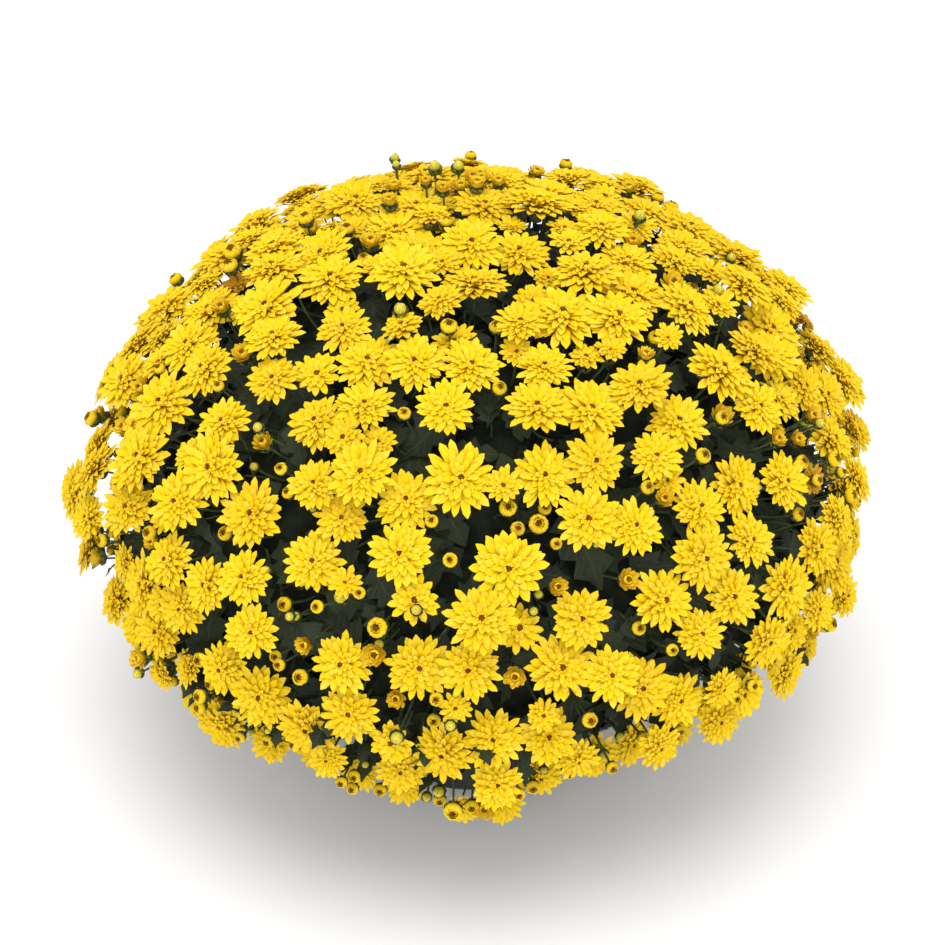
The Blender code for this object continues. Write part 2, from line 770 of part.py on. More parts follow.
def build_soil(directions):
    slope = (POT_TOP_RADIUS - POT_FOOT_RADIUS) / POT_HEIGHT

    def inside(height):
        return POT_FOOT_RADIUS + slope * height - WALL - FIT_GAP

    bottom = FLOOR_THICKNESS + FIT_GAP
    profile = [
        (0.0, bottom),
        (inside(bottom), bottom),
        (inside(SOIL_EDGE), SOIL_EDGE),
        (0.0, SOIL_CROWN),
    ]
    soil = turned("soil", profile, POT_SEGMENTS, POTTING_SOIL)
    combine(soil, [stem_hole(k, direction) for k, direction in enumerate(directions)], "DIFFERENCE")


def stem_hole(k, direction):
    """A plain round hole in the soil for a branch's stem, a little wider and deeper than the stem."""
    foot, target = stem_path(direction)
    slope = (target - foot).normalized()
    start = foot - HOLE_DEPTH_BELOW_STEM * slope
    end = foot + (POT_HEIGHT - foot.z) / slope.z * slope
    widest = (STEM_RADII[0] + HOLE_CLEARANCE) / math.cos(math.pi / HOLE_SIDES)
    return tube(f"hole_{k}", [start, end], [widest, widest], HOLE_SIDES)


def main():
    clear_scene()
    draw = random.Random(SEED)
    sprays = grow_sprays(draw)
    blooms = [bloom for spray in sprays for bloom in spray]
    buds = place_buds(draw, blooms)
    directions = branch_directions()
    build_pot()
    build_soil(directions)
    for index, spray in enumerate(sprays):
        build_spray(index, spray)
    stalked, budded = share_stalks(sprays, buds, directions)
    for index in range(len(directions)):
        build_branch(index, directions, stalked[index], budded[index], blooms, draw)


main()
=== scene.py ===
import math
import random
from itertools import product

import bmesh
import bpy
import numpy as np
from mathutils import Matrix, Vector


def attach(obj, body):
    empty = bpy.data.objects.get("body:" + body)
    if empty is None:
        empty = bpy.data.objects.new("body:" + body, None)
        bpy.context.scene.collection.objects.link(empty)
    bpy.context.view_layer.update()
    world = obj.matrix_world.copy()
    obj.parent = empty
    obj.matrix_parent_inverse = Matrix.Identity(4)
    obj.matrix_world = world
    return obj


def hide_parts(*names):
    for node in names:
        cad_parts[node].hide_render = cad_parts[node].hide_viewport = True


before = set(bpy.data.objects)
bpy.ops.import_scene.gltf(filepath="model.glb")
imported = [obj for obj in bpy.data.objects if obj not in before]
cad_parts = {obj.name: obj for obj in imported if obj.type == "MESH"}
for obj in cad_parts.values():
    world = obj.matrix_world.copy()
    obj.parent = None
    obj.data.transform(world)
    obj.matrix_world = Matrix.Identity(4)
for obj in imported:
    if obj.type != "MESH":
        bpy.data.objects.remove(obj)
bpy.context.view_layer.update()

# The rule that places the blooms and buds, with the part's own values
SEED = 13
UP = Vector((0.0, 0.0, 1.0))
GOLDEN_ANGLE = math.pi * (3.0 - math.sqrt(5.0))
BELT_RADIUS = 0.227
BELT_HEIGHT = 0.145
DOME_RISE = 0.197
SKIRT_DROP = 0.094
DOME_POWER = 0.88
SKIRT_POWER = 1.20
SKIRT_INSET_SHARE = 0.5
LOWEST_LATITUDE = math.radians(-34.0)
SLOPE_STEP = 0.01
AREA_STEPS = 120
CENTRE = Vector((0.0, 0.0, BELT_HEIGHT))
SAG_START = math.radians(-4.0)
SAGS = (
    (math.radians(-3.0), math.radians(28.0), 0.019),
    (math.radians(62.0), math.radians(46.0), -0.010),
    (math.radians(-76.0), math.radians(42.0), -0.010),
)
SPRAYS = 44
SPRAY_BLOOMS = 11
SPRAY_SINK = 0.008
BLOOM_JITTER = 0.0014
BLOOM_RADII = ((0.0175, 0.0210), (0.0155, 0.0182), (0.0130, 0.0155))
GROWTH_ROUNDS = (4, 8, 8)
GROWTH_TRIES = 26
PARENT_DISTANCES = (0.84, 0.80, 0.76, 0.72, 0.68)
OWN_SPRAY_DISTANCE = 0.84
SPRAY_CLEARANCE = 0.0006
THIN_SPOTS = 18
THIN_SPOT_RADII = (0.003, 0.013)
THIN_SPOT_START = 0.30
THIN_SPOT_EDGE = 0.6
BLOOM_LIFT = 0.14
STEEPEST_DOWN = -0.20
BLOOM_TOP = 0.14
BLOOM_DEPTH = 0.66
NOTCH_REACH = 0.77
NOTCH_DROP = 0.07
OVERLAP_MARGIN = 0.0003
PETAL_TEST_REACHES = (0.92, 0.84, 0.76, 0.68, 0.60)
PETAL_TEST_HEIGHTS = (0.1, 0.5, 0.9)
BUDS = 210
BUD_RADII = (0.0036, 0.0058)
BUD_HEIGHTS = (-0.010, 0.006)
BUD_TRIES = 3000
BUD_SPACING = 0.0128
TUFT_BUDS = 6
TUFT_CENTRE = (0.004, 0.045)
TUFT_SPREAD = (0.050, 0.030)
TUFT_HEIGHTS = (0.006, 0.018)
BRANCH_RINGS = ((1, 90.0), (5, 47.0), (8, -4.0))
STEM_MEETING_HEIGHT = 0.032
STEM_DEPTH_IN_SOIL = 0.030
STEM_DEPTH_IN_CORE = 0.014
STEM_RISE = 0.020
HOLLOW_RADIUS = 0.068
HOLLOW_EDGE = math.radians(38.0)
CORE_INSET = 0.040
CORE_LATITUDES = (90.0, 62.0, 34.0, 6.0, -16.0)
SKIRT_FOOT = (0.145, 0.087)
SKIRT_UNDERSIDE_RISE = 0.010
POT_ROOM = (0.012, 0.010)
LOWEST_ROOT = math.radians(-24.0)
ROOT_DEPTH = 0.014

# Pot, as the part has it, turned with finer steps
POT_HEIGHT = 0.130
POT_FOOT_RADIUS = 0.076
POT_TOP_RADIUS = 0.099
RIM_RADIUS = 0.105
RIM_BAND = 0.015
RIM_LIP = 0.003
RIM_EDGE = 0.0008
FOOT_CHAMFER = 0.003
WALL = 0.0022
FLOOR_THICKNESS = 0.003
SOIL_EDGE = 0.117
DRAIN_SLOTS = 8
DRAIN_SLOT_WIDTH = 0.014
DRAIN_SLOT_HEIGHT = 0.007
DRAIN_SLOT_LENGTH = 0.018
POT_SEGMENTS = 96
SHARPEST_SMOOTH = math.radians(32.0)

# Open blooms, in shares of a bloom's radius
OPEN_SHAPES = 12
OPEN_SCALE = (0.80, 0.95)
TOP_SCALE = 1.16
SKIRT_SCALE = 0.85
HEAD_LEAN = Vector((0.0, -0.26, 0.28))
OPEN_TILT = 0.27
OPEN_RISE = (-0.34, 0.30)
PETAL_ROWS = (0.0, 0.36, 0.66, 0.87, 1.0)
SCALE_ROWS = (0.0, 0.4, 0.8, 1.0)
WIDEST = 0.66
FADED_SHARE = 0.006

# Rings of petals from the outside in: (petals, reach, height of the tips, half width)
OPEN_RINGS = (
    (18, 1.00, -0.02, 0.120),
    (17, 0.87, 0.03, 0.112),
    (15, 0.73, 0.08, 0.104),
    (13, 0.59, 0.12, 0.096),
    (11, 0.45, 0.16, 0.086),
    (9, 0.31, 0.19, 0.072),
)
OPEN_RING_ROUND_EYE = (8, 0.085, 0.20, 0.055)
YOUNG_RINGS = (
    (14, 1.00, 0.02, 0.155),
    (12, 0.82, 0.10, 0.140),
    (10, 0.62, 0.17, 0.120),
    (9, 0.42, 0.22, 0.100),
)
YOUNG_RING_ROUND_EYE = (8, 0.13, 0.24, 0.080)

# Half-open blooms that fill small spaces
YOUNG_BLOOMS = 96
YOUNG_SHAPES = 8
YOUNG_RADII = (0.0085, 0.0130)
YOUNG_OFFSETS = (-0.013, -0.001)
YOUNG_ROOM = 0.66
YOUNG_TOPWARD = 2.5
YOUNG_FADED_SHARE = 0.03
CUPS = 76
CUP_SHAPES = 4
CUP_RADII = (0.0060, 0.0085)
CUP_PETALS = 34
CUP_OFFSETS = (-0.008, 0.002)
CUP_ROOM = 0.80
TUFT_CUPS = 10
TUFT_CUP_MIDDLE = (-0.018, 0.040)
TUFT_CUP_SPREAD = (0.034, 0.026)
TUFT_CUP_RADII = (0.0050, 0.0076)
TUFT_CUP_OFFSETS = (0.002, 0.010)
TUFT_CUP_ROOM = 0.52
RIM_BUDS = 30
RIM_BUD_RADII = (0.0034, 0.0052)
RIM_BUD_OFFSETS = (-0.006, 0.004)
RIM_BUD_LATITUDES = (-36.0, -12.0)
RIM_BUD_ROOM = 0.60
EXTRA_BUTTONS = 125
BUTTON_TOPWARD = 0.75
EXTRA_BUTTON_RADII = (0.0034, 0.0050)
EXTRA_BUTTON_OFFSETS = (-0.014, 0.000)

# Buds
BUTTON_SHAPES = 4
TIGHT_SHAPES = 4
TIGHT_SHARE = 0.30
TIGHT_SCALE = 0.78
LOW_BUDS = 110
LOW_BUD_RADII = (0.0022, 0.0034)
LOW_BUD_OFFSETS = (-0.018, -0.006)

# Stalks, stems and leaves
STALK_RADIUS = 0.0007
STALK_STEPS = 5
STEM_RADIUS = 0.0034
LEAF_ROWS = 11
LEAF_COLUMNS = (-1.0, -0.5, 0.0, 0.5, 1.0)
LEAF_SHAPES = 8
UPPER_LEAVES = 420
UPPER_LEAF_OFFSETS = (-0.030, -0.017)
UPPER_LEAF_LENGTHS = (0.019, 0.031)
UPPER_LEAF_TILT = 0.55
DEEP_LEAVES = 400
DEEP_LEAF_OFFSETS = (-0.044, -0.028)
DEEP_LEAF_LENGTHS = (0.032, 0.050)
DEEP_LEAF_TILT = 0.45
SKIRT_LEAVES = 90
RIM_LEAVES = 250
RIM_LEAF_LATITUDES = (-36.0, -8.0)
RIM_LEAF_OFFSETS = (-0.024, 0.002)
RIM_LEAF_LENGTHS = (0.014, 0.026)
LEAFY_SIDE = (-0.75, 0.35)
LEAFY_SHARE = 0.30
INNER_ROWS = 30
INNER_COLUMNS = 120
INNER_UNEVEN = 0.002

# Camera and light
CAMERA_ELEVATION = math.radians(33.0)
CAMERA_DISTANCE = 1.35
CAMERA_LENS = 87.12
SENSOR = 36.0
FRAME_PIXELS = 945.0
BELT_PIXEL = (475.0, 520.0)

DRESSING_SEED = 5


# The dome's shell


def shell_profile(latitude, inset):
    """Radius and height of the dome's shell at a latitude, or of a shell lying inset inside it."""
    power = DOME_POWER if latitude >= 0.0 else SKIRT_POWER
    across = abs(math.cos(latitude)) ** power
    rise = abs(math.sin(latitude)) ** power
    height = DOME_RISE - inset if latitude >= 0.0 else SKIRT_INSET_SHARE * inset - SKIRT_DROP
    return (BELT_RADIUS - inset) * across, BELT_HEIGHT + height * rise


def shell_latitude(point):
    """The latitude of the shell's point on the ray through a point near it."""
    height = point.z - BELT_HEIGHT
    rise = abs(height) / (DOME_RISE if height >= 0.0 else SKIRT_DROP)
    across = math.hypot(point.x, point.y) / BELT_RADIUS
    power = 1.0 / (DOME_POWER if height >= 0.0 else SKIRT_POWER)
    latitude = math.atan2(rise**power, across**power)
    return math.copysign(latitude, height)


def shell_point(azimuth, latitude):
    radius, height = shell_profile(latitude, 0.0)
    return Vector((radius * math.sin(azimuth), -radius * math.cos(azimuth), height))


def shell_normal(azimuth, latitude):
    low = shell_profile(latitude - SLOPE_STEP, 0.0)
    high = shell_profile(min(latitude + SLOPE_STEP, math.pi / 2.0), 0.0)
    outward = Vector((high[1] - low[1], low[0] - high[0])).normalized()
    return Vector((outward.x * math.sin(azimuth), -outward.x * math.cos(azimuth), outward.y))


def sag(azimuth, latitude):
    """How far out of the shell the skirt hangs at this place."""
    share = (SAG_START - latitude) / (SAG_START - LOWEST_LATITUDE)
    total = 0.0
    for middle, half_width, depth in SAGS:
        aside = min(abs(azimuth - middle) / half_width, 1.0)
        total += depth * 0.5 * (1.0 + math.cos(math.pi * aside))
    return total * min(max(share, 0.0), 1.0)


def even_latitude(share):
    """The latitude that has this share of the shell's area above it."""
    span = math.pi / 2.0 - LOWEST_LATITUDE
    reached = [0.0]
    for k in range(AREA_STEPS):
        above = shell_profile(math.pi / 2.0 - span * k / AREA_STEPS, 0.0)
        below = shell_profile(math.pi / 2.0 - span * (k + 1) / AREA_STEPS, 0.0)
        band = math.hypot(above[0] - below[0], above[1] - below[1]) * (above[0] + below[0])
        reached.append(reached[-1] + band)
    target = share * reached[-1]
    for k in range(AREA_STEPS):
        if reached[k + 1] >= target:
            part = (target - reached[k]) / (reached[k + 1] - reached[k])
            return math.pi / 2.0 - span * (k + part) / AREA_STEPS
    return LOWEST_LATITUDE


def facing(azimuth, latitude):
    """The way that a bloom faces: out of the shell, lifted towards the light."""
    normal = shell_normal(azimuth, latitude)
    normal.z = max(normal.z, STEEPEST_DOWN)
    return (normal + BLOOM_LIFT * UP).normalized()


# Where the blooms and buds grow


class Head:
    """A bloom or a bud: its centre, the way that it faces, its radius and what one petal points to."""

    def __init__(self, point, radius, offset, target=None):
        self.azimuth = math.atan2(point.x, -point.y)
        self.latitude = shell_latitude(point)
        self.radius = radius
        self.offset = offset
        self.axis = facing(self.azimuth, self.latitude)
        self.centre = shell_point(self.azimuth, self.latitude)
        out = offset + sag(self.azimuth, self.latitude)
        self.centre += out * shell_normal(self.azimuth, self.latitude)
        toward = (target if target else CENTRE) - self.centre
        self.forward = (toward - toward.dot(self.axis) * self.axis).normalized()

    def point(self, along, height):
        """A point in the plane of the axis and the forward petal, in shares of the radius."""
        return self.centre + self.radius * (along * self.forward + height * self.axis)

    def holds(self, point, reach, drop, margin):
        """Whether a point lies inside the double cone of this reach by a margin."""
        away = point - self.centre
        height = away.dot(self.axis)
        share = (away - height * self.axis).length / (reach * self.radius)
        top = self.radius * (BLOOM_TOP - share * (BLOOM_TOP + drop))
        bottom = self.radius * (share * (BLOOM_DEPTH - drop) - BLOOM_DEPTH)
        return share < 1.0 and bottom + margin < height < top - margin


def meets(child, parent):
    """Whether the child's forward petal runs well into the parent."""
    for along, share in product(PETAL_TEST_REACHES, PETAL_TEST_HEIGHTS):
        height = BLOOM_TOP - share * (BLOOM_TOP + BLOOM_DEPTH)
        point = child.point(along, (1.0 - along) * height)
        if parent.holds(point, NOTCH_REACH, NOTCH_DROP, OVERLAP_MARGIN):
            return True
    return False


def beside(head, distance, angle):
    """A point of the shell at this distance from a head, in this direction round it."""
    normal = shell_normal(head.azimuth, head.latitude)
    east = Vector((math.cos(head.azimuth), math.sin(head.azimuth), 0.0))
    north = normal.cross(east)
    return head.centre + distance * (math.cos(angle) * east + math.sin(angle) * north)


def has_room(head, parent, spray, sprays, spots):
    if head.latitude < LOWEST_LATITUDE:
        return False
    for centre, radius in spots:
        if (head.centre - centre).length < radius + THIN_SPOT_EDGE * head.radius:
            return False
    for other in sprays:
        for bloom in other:
            reach = bloom.radius + head.radius
            least = OWN_SPRAY_DISTANCE * reach if other is spray else reach + SPRAY_CLEARANCE
            if bloom is not parent and (head.centre - bloom.centre).length < least:
                return False
    return True


def thin_spots(draw):
    """Places where the blooms leave the foliage open: (centre, radius)."""
    spots = []
    for _ in range(THIN_SPOTS):
        latitude = even_latitude(draw.uniform(THIN_SPOT_START, 1.0))
        point = shell_point(draw.uniform(-math.pi, math.pi), latitude)
        spots.append((point, draw.uniform(*THIN_SPOT_RADII)))
    return spots


def grow_sprays(draw):
    """Sprays seeded evenly over the shell, each growing outwards bloom by bloom while there is room."""
    spots = thin_spots(draw)
    sprays = []
    for k in range(SPRAYS):
        latitude = even_latitude((k + 0.35 + 0.3 * draw.random()) / SPRAYS)
        azimuth = GOLDEN_ANGLE * k + draw.uniform(-0.12, 0.12)
        radius = draw.uniform(*BLOOM_RADII[0])
        sprays.append([Head(shell_point(azimuth, latitude), radius, -draw.uniform(0.0, SPRAY_SINK))])
    for rounds, radii in zip(GROWTH_ROUNDS, BLOOM_RADII):
        for _ in range(rounds):
            for spray in sprays:
                if len(spray) < SPRAY_BLOOMS:
                    grow_once(draw, spray, sprays, radii, spots)
    return sprays


def grow_once(draw, spray, sprays, radii, spots):
    """Adds one bloom to a spray, its forward petal in one that the spray has, if a place is found."""
    for _ in range(GROWTH_TRIES):
        parent = draw.choice(spray)
        radius = draw.uniform(*radii)
        angle = draw.uniform(-math.pi, math.pi)
        offset = spray[0].offset + draw.uniform(-BLOOM_JITTER, BLOOM_JITTER)
        for share in PARENT_DISTANCES:
            place = beside(parent, share * (parent.radius + radius), angle)
            head = Head(place, radius, offset, parent.centre)
            if not has_room(head, parent, spray, sprays, spots):
                break
            if meets(head, parent):
                spray.append(head)
                return


def any_bud(draw):
    point = shell_point(draw.uniform(-math.pi, math.pi), even_latitude(draw.random()))
    return Head(point, draw.uniform(*BUD_RADII), draw.uniform(*BUD_HEIGHTS))


def tuft_bud(draw):
    """A bud of the tuft that stands up behind the dome's top."""
    x, y = (middle + draw.uniform(-spread, spread) for middle, spread in zip(TUFT_CENTRE, TUFT_SPREAD))
    point = Vector((x, y, BELT_HEIGHT + DOME_RISE))
    return Head(point, draw.uniform(*BUD_RADII), draw.uniform(*TUFT_HEIGHTS))


def add_buds(buds, wanted, make, draw, blooms):
    """Adds buds until there are as many as wanted, each with room for itself and its stalk."""
    for _ in range(BUD_TRIES):
        if len(buds) >= wanted:
            return
        bud = make(draw)
        root = root_of(bud)
        clear_of_blooms = all(
            segment_distance(bloom.centre, root, bud.centre) > bloom.radius + bud.radius + SPRAY_CLEARANCE
            for bloom in blooms
        )
        clear_of_buds = all((bud.centre - other.centre).length > BUD_SPACING for other in buds)
        if clear_of_blooms and clear_of_buds:
            buds.append(bud)


def place_buds(draw, blooms):
    """Buds in the spaces between the blooms: a tuft at the top, then the rest all round."""
    buds = []
    add_buds(buds, TUFT_BUDS, tuft_bud, draw, blooms)
    add_buds(buds, BUDS, any_bud, draw, blooms)
    return buds


def segment_distance(point, start, end):
    run = end - start
    share = min(max((point - start).dot(run) / run.length_squared, 0.0), 1.0)
    return (point - start - share * run).length


def root_of(head):
    """Where a head's stalk leaves the foliage: in the core, a little below its surface."""
    latitude = max(head.latitude, LOWEST_ROOT)
    radius, height = shell_profile(latitude, CORE_INSET + ROOT_DEPTH)
    return Vector((radius * math.sin(head.azimuth), -radius * math.cos(head.azimuth), height))


def branch_directions():
    """Unit vectors from the dome's centre to the middle of each branch."""
    found = []
    for ring, (count, elevation) in enumerate(BRANCH_RINGS):
        height = math.radians(elevation)
        for k in range(count):
            azimuth = 2.0 * math.pi * (k + 0.5 * (ring % 2)) / count
            flat = math.cos(height)
            found.append(Vector((flat * math.sin(azimuth), -flat * math.cos(azimuth), math.sin(height))))
    return found


def branch_of(point, directions):
    return max(range(len(directions)), key=lambda k: directions[k].dot(point - CENTRE))


def core_profile():
    """Half the outline of the dense foliage: a cap over the pot with a skirt that hangs round it."""
    outline = [shell_profile(math.radians(latitude), CORE_INSET) for latitude in CORE_LATITUDES]
    outline[0] = (0.0, outline[0][1])
    beside_pot = RIM_RADIUS + POT_ROOM[0]
    above_pot = POT_HEIGHT + POT_ROOM[1]
    hollow = HOLLOW_RADIUS * math.cos(HOLLOW_EDGE)
    outline.append(SKIRT_FOOT)
    outline.append((beside_pot, SKIRT_FOOT[1] + SKIRT_UNDERSIDE_RISE))
    outline.append((beside_pot, above_pot))
    outline.append((hollow + SKIRT_UNDERSIDE_RISE, above_pot))
    outline.append((hollow, BELT_HEIGHT + HOLLOW_RADIUS * math.sin(HOLLOW_EDGE)))
    outline.append((0.0, BELT_HEIGHT + HOLLOW_RADIUS))
    return outline


def stem_path(direction):
    """A branch's stem: straight from its hole in the soil into its share of the dome."""
    target = CENTRE + (HOLLOW_RADIUS + STEM_DEPTH_IN_CORE) * direction
    target.z = max(target.z, POT_HEIGHT + STEM_RISE)
    meeting = Vector((0.0, 0.0, STEM_MEETING_HEIGHT))
    slope = (target - meeting).normalized()
    foot = meeting + slope * ((SOIL_EDGE - STEM_DEPTH_IN_SOIL - meeting.z) / slope.z)
    return foot, target


# Patches of mesh: arrays of points, triangles and place values


class Patch:
    """Points, triangles, a material slot a triangle, and a place value for each point.

    A place value is (across, along, layer, chance), each from 0 to 1, which the materials read.
    """

    def __init__(self, points, triangles, place, slot=0):
        self.points = points
        self.triangles = triangles
        self.place = place
        self.slots = np.full(len(triangles), slot)

    def moved(self, matrix):
        turn = np.array(matrix.to_3x3())
        made = Patch(self.points @ turn.T + np.array(matrix.translation), self.triangles, self.place)
        made.slots = self.slots
        return made


def joined(patches):
    starts = np.cumsum([0] + [len(patch.points) for patch in patches])
    made = Patch(
        np.concatenate([patch.points for patch in patches]),
        np.concatenate([patch.triangles + start for patch, start in zip(patches, starts)]),
        np.concatenate([patch.place for patch in patches]),
    )
    made.slots = np.concatenate([patch.slots for patch in patches])
    return made


def grid_triangles(rows, columns):
    corner = (np.arange(rows - 1)[:, None] * columns + np.arange(columns - 1)).ravel()
    lower = np.stack([corner, corner + 1, corner + columns + 1], axis=1)
    upper = np.stack([corner, corner + columns + 1, corner + columns], axis=1)
    return np.concatenate([lower, upper])


def make_piece(name, patches, materials, ages=None):
    """One mesh object from patches; ages gives a value for each patch, which its material reads."""
    whole = joined(patches)
    mesh = bpy.data.meshes.new(name)
    mesh.from_pydata(whole.points.tolist(), [], whole.triangles.tolist())
    for finish in materials:
        mesh.materials.append(finish)
    mesh.polygons.foreach_set("material_index", whole.slots.astype(np.int32))
    mesh.polygons.foreach_set("use_smooth", np.ones(len(whole.triangles), dtype=bool))
    place = mesh.color_attributes.new("place", "FLOAT_COLOR", "POINT")
    place.data.foreach_set("color", whole.place.astype(np.float32).ravel())
    if ages is not None:
        age = mesh.attributes.new("age", "FLOAT", "POINT")
        values = np.repeat(ages, [len(patch.points) for patch in patches])
        age.data.foreach_set("value", values.astype(np.float32))
    mesh.update()
    obj = bpy.data.objects.new(name, mesh)
    bpy.context.scene.collection.objects.link(obj)
    return obj


def dress(obj, slot, *nodes):
    """Fixes a piece to the part and hides the part's nodes that the piece stands for."""
    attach(obj, "root")
    if nodes:
        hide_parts(*nodes)


# Petals


def petal_width(share):
    """A petal's half width along its length, as a share of its widest: narrow foot, rounded tip."""
    grown = np.clip(share / WIDEST, 0.0, 1.0)
    foot = 0.36 + 0.64 * grown * grown * (3.0 - 2.0 * grown)
    beyond = np.clip((share - WIDEST) / (1.0 - WIDEST), 0.0, 1.0)
    return foot * np.maximum(np.sqrt(1.0 - beyond**2.3), 0.12)


def petal(spine, half_width, gutter, azimuth, layer, chance, rows=PETAL_ROWS):
    """A strip along a curve from three points of (radius, height), its edges raised like a gutter's."""
    share = np.array(rows)
    foot, middle, tip = (np.array(point) for point in spine)
    early = (1.0 - share)[:, None]
    late = share[:, None]
    line = early**2 * foot + 2.0 * early * late * middle + late**2 * tip
    run = 2.0 * early * (middle - foot) + 2.0 * late * (tip - middle)
    run /= np.linalg.norm(run, axis=1)[:, None]
    normal = np.stack([-run[:, 1], run[:, 0]], axis=1)
    width = half_width * petal_width(share)
    points = []
    place = []
    for side in (-1.0, 0.0, 1.0):
        raised = gutter * width * abs(side)
        flat = line + raised[:, None] * normal
        points.append(np.stack([flat[:, 0], side * width, flat[:, 1]], axis=1))
        values = [np.full(len(share), 0.5 + 0.5 * side), share]
        values += [np.full(len(share), layer), np.full(len(share), chance)]
        place.append(np.stack(values, axis=1))
    points = np.stack(points, axis=1).reshape(-1, 3)
    place = np.stack(place, axis=1).reshape(-1, 4)
    turn = Matrix.Rotation(azimuth, 4, "Z")
    return Patch(points, grid_triangles(len(share), 3), place).moved(turn)


def eye(radius, height, slot):
    """The small dark middle, a shallow bowl."""
    sides = 10
    angles = 2.0 * np.pi * np.arange(sides) / sides
    rim = np.stack([radius * np.cos(angles), radius * np.sin(angles), np.full(sides, height)], axis=1)
    points = np.concatenate([rim, [[0.0, 0.0, height - 0.4 * radius]]])
    index = np.arange(sides)
    triangles = np.stack([index, (index + 1) % sides, np.full(sides, sides)], axis=1)
    return Patch(points, triangles, np.full((sides + 1, 4), 0.5), slot)


def mix(low, high, share):
    return low + (high - low) * share


def petal_ring(ring, turn, cupping, gutter, layer, draw):
    """A ring of petals that rise from the middle and bend out to their tips."""
    count, reach, height, half_width = ring
    petals = []
    for k in range(count):
        azimuth = 2.0 * math.pi * (k + turn) / count + draw.gauss(0.0, 1.1) / count
        out = reach * draw.uniform(0.85, 1.08)
        up = height + cupping * reach + draw.uniform(-0.03, 0.03)
        foot = (0.12 * reach, up - 0.26)
        middle = (0.52 * out, up + 0.02 - 0.35 * cupping * reach + draw.uniform(-0.02, 0.04))
        tip = (out, up + draw.uniform(-0.07, 0.05) * reach)
        half = half_width * draw.uniform(0.90, 1.10)
        petals.append(petal((foot, middle, tip), half, gutter, azimuth, layer, draw.random()))
    return petals


def eye_ring(ring, draw):
    """The innermost petals, which curve in over the eye."""
    count, radius, height, half_width = ring
    petals = []
    for k in range(count):
        azimuth = 2.0 * math.pi * k / count + draw.uniform(-0.1, 0.1)
        tip = (radius * draw.uniform(0.7, 1.15), height + draw.uniform(-0.01, 0.03))
        spine = ((1.6 * radius, height - 0.24), (2.6 * radius, height - 0.04), tip)
        petals.append(petal(spine, half_width, 0.25, azimuth, 1.0, draw.random()))
    return petals


def ringed_bloom(rings, inner, cupping, draw):
    """A double bloom from its rings of petals, with the small dark eye in its middle."""
    petals = []
    turn = draw.random()
    for k, ring in enumerate(rings):
        layer = k / len(rings)
        petals.extend(petal_ring(ring, turn + 0.5 * (k % 2), cupping, mix(0.22, 0.42, layer), layer, draw))
    petals.extend(eye_ring(inner, draw))
    petals.append(eye(1.1 * inner[1], inner[2] - 0.05, 1))
    return joined(petals)


def open_bloom(draw):
    """An open bloom, flat or a little cupped or bent back."""
    return ringed_bloom(OPEN_RINGS, OPEN_RING_ROUND_EYE, draw.uniform(-0.10, 0.12), draw)


def young_bloom(draw):
    """A smaller bloom with fewer petals, more cupped."""
    return ringed_bloom(YOUNG_RINGS, YOUNG_RING_ROUND_EYE, draw.uniform(0.05, 0.34), draw)


def cup_bloom(draw):
    """A bud that has opened to a cup: raised petals round an incurved middle."""
    petals = []
    opening = draw.uniform(0.35, 0.85)
    for k in range(CUP_PETALS):
        layer = k / (CUP_PETALS - 1)
        azimuth = GOLDEN_ANGLE * k + draw.uniform(-0.08, 0.08)
        reach = mix(1.0, 0.42, layer) * mix(0.72, 1.0, opening) * draw.uniform(0.92, 1.05)
        height = mix(0.32, 0.06, opening) + 0.22 * layer + draw.uniform(-0.05, 0.05)
        spine = ((0.14, -0.52), (mix(0.86, 0.62, layer) * reach, -0.30 + 0.14 * layer), (reach, height))
        if layer > 0.70:
            spine = (spine[0], (0.52, 0.02), (0.20, 0.26))
        petals.append(petal(spine, mix(0.21, 0.14, layer), 0.30, azimuth, layer, draw.uniform(0.5, 1.0)))
    petals.append(eye(0.14, 0.12, 1))
    return joined(petals)


def button_bud(draw):
    """A bud that has just opened at its top: incurved petals round a dark hole."""
    petals = []
    for count, widest, tip_radius, tip_height, half in ((15, 1.46, 0.46, 0.58, 0.25), (11, 1.02, 0.30, 0.50, 0.19)):
        for k in range(count):
            azimuth = 2.0 * math.pi * k / count + draw.uniform(-0.08, 0.08)
            tip = (tip_radius * draw.uniform(0.85, 1.15), tip_height + draw.uniform(-0.05, 0.08))
            spine = ((0.28, -0.62), (widest, draw.uniform(-0.06, 0.06)), tip)
            petals.append(petal(spine, half, 0.35, azimuth, 0.4, draw.random()))
    petals.append(eye(0.36, 0.26, 1))
    return joined(petals)


def tight_bud(draw):
    """A closed bud whose petals meet in a rounded point."""
    petals = []
    for k in range(11):
        azimuth = 2.0 * math.pi * k / 11 + draw.uniform(-0.05, 0.05)
        spine = ((0.30, -0.60), (1.30, 0.20), (0.06, draw.uniform(0.86, 1.0)))
        petals.append(petal(spine, 0.30, 0.12, azimuth, 0.0, draw.random()))
    return joined(petals)


def calyx(top, spread, count=8):
    """A cup of green scales under a bloom or bud, in two rows."""
    scales = []
    for k in range(count):
        row = k % 2
        azimuth = 2.0 * math.pi * k / count
        foot = (0.06, -1.0)
        middle = (spread * (1.12 - 0.06 * row), -0.98 + 0.05 * row)
        tip = (spread * (0.98 - 0.04 * row), mix(top, -0.75, 0.35 * row))
        spine = (foot, middle, tip)
        scales.append(petal(spine, 3.4 * spread / count, -0.1, azimuth, 0.5, 0.3 + 0.4 * row, SCALE_ROWS))
    return joined(scales)


# Stalks, stems and leaves


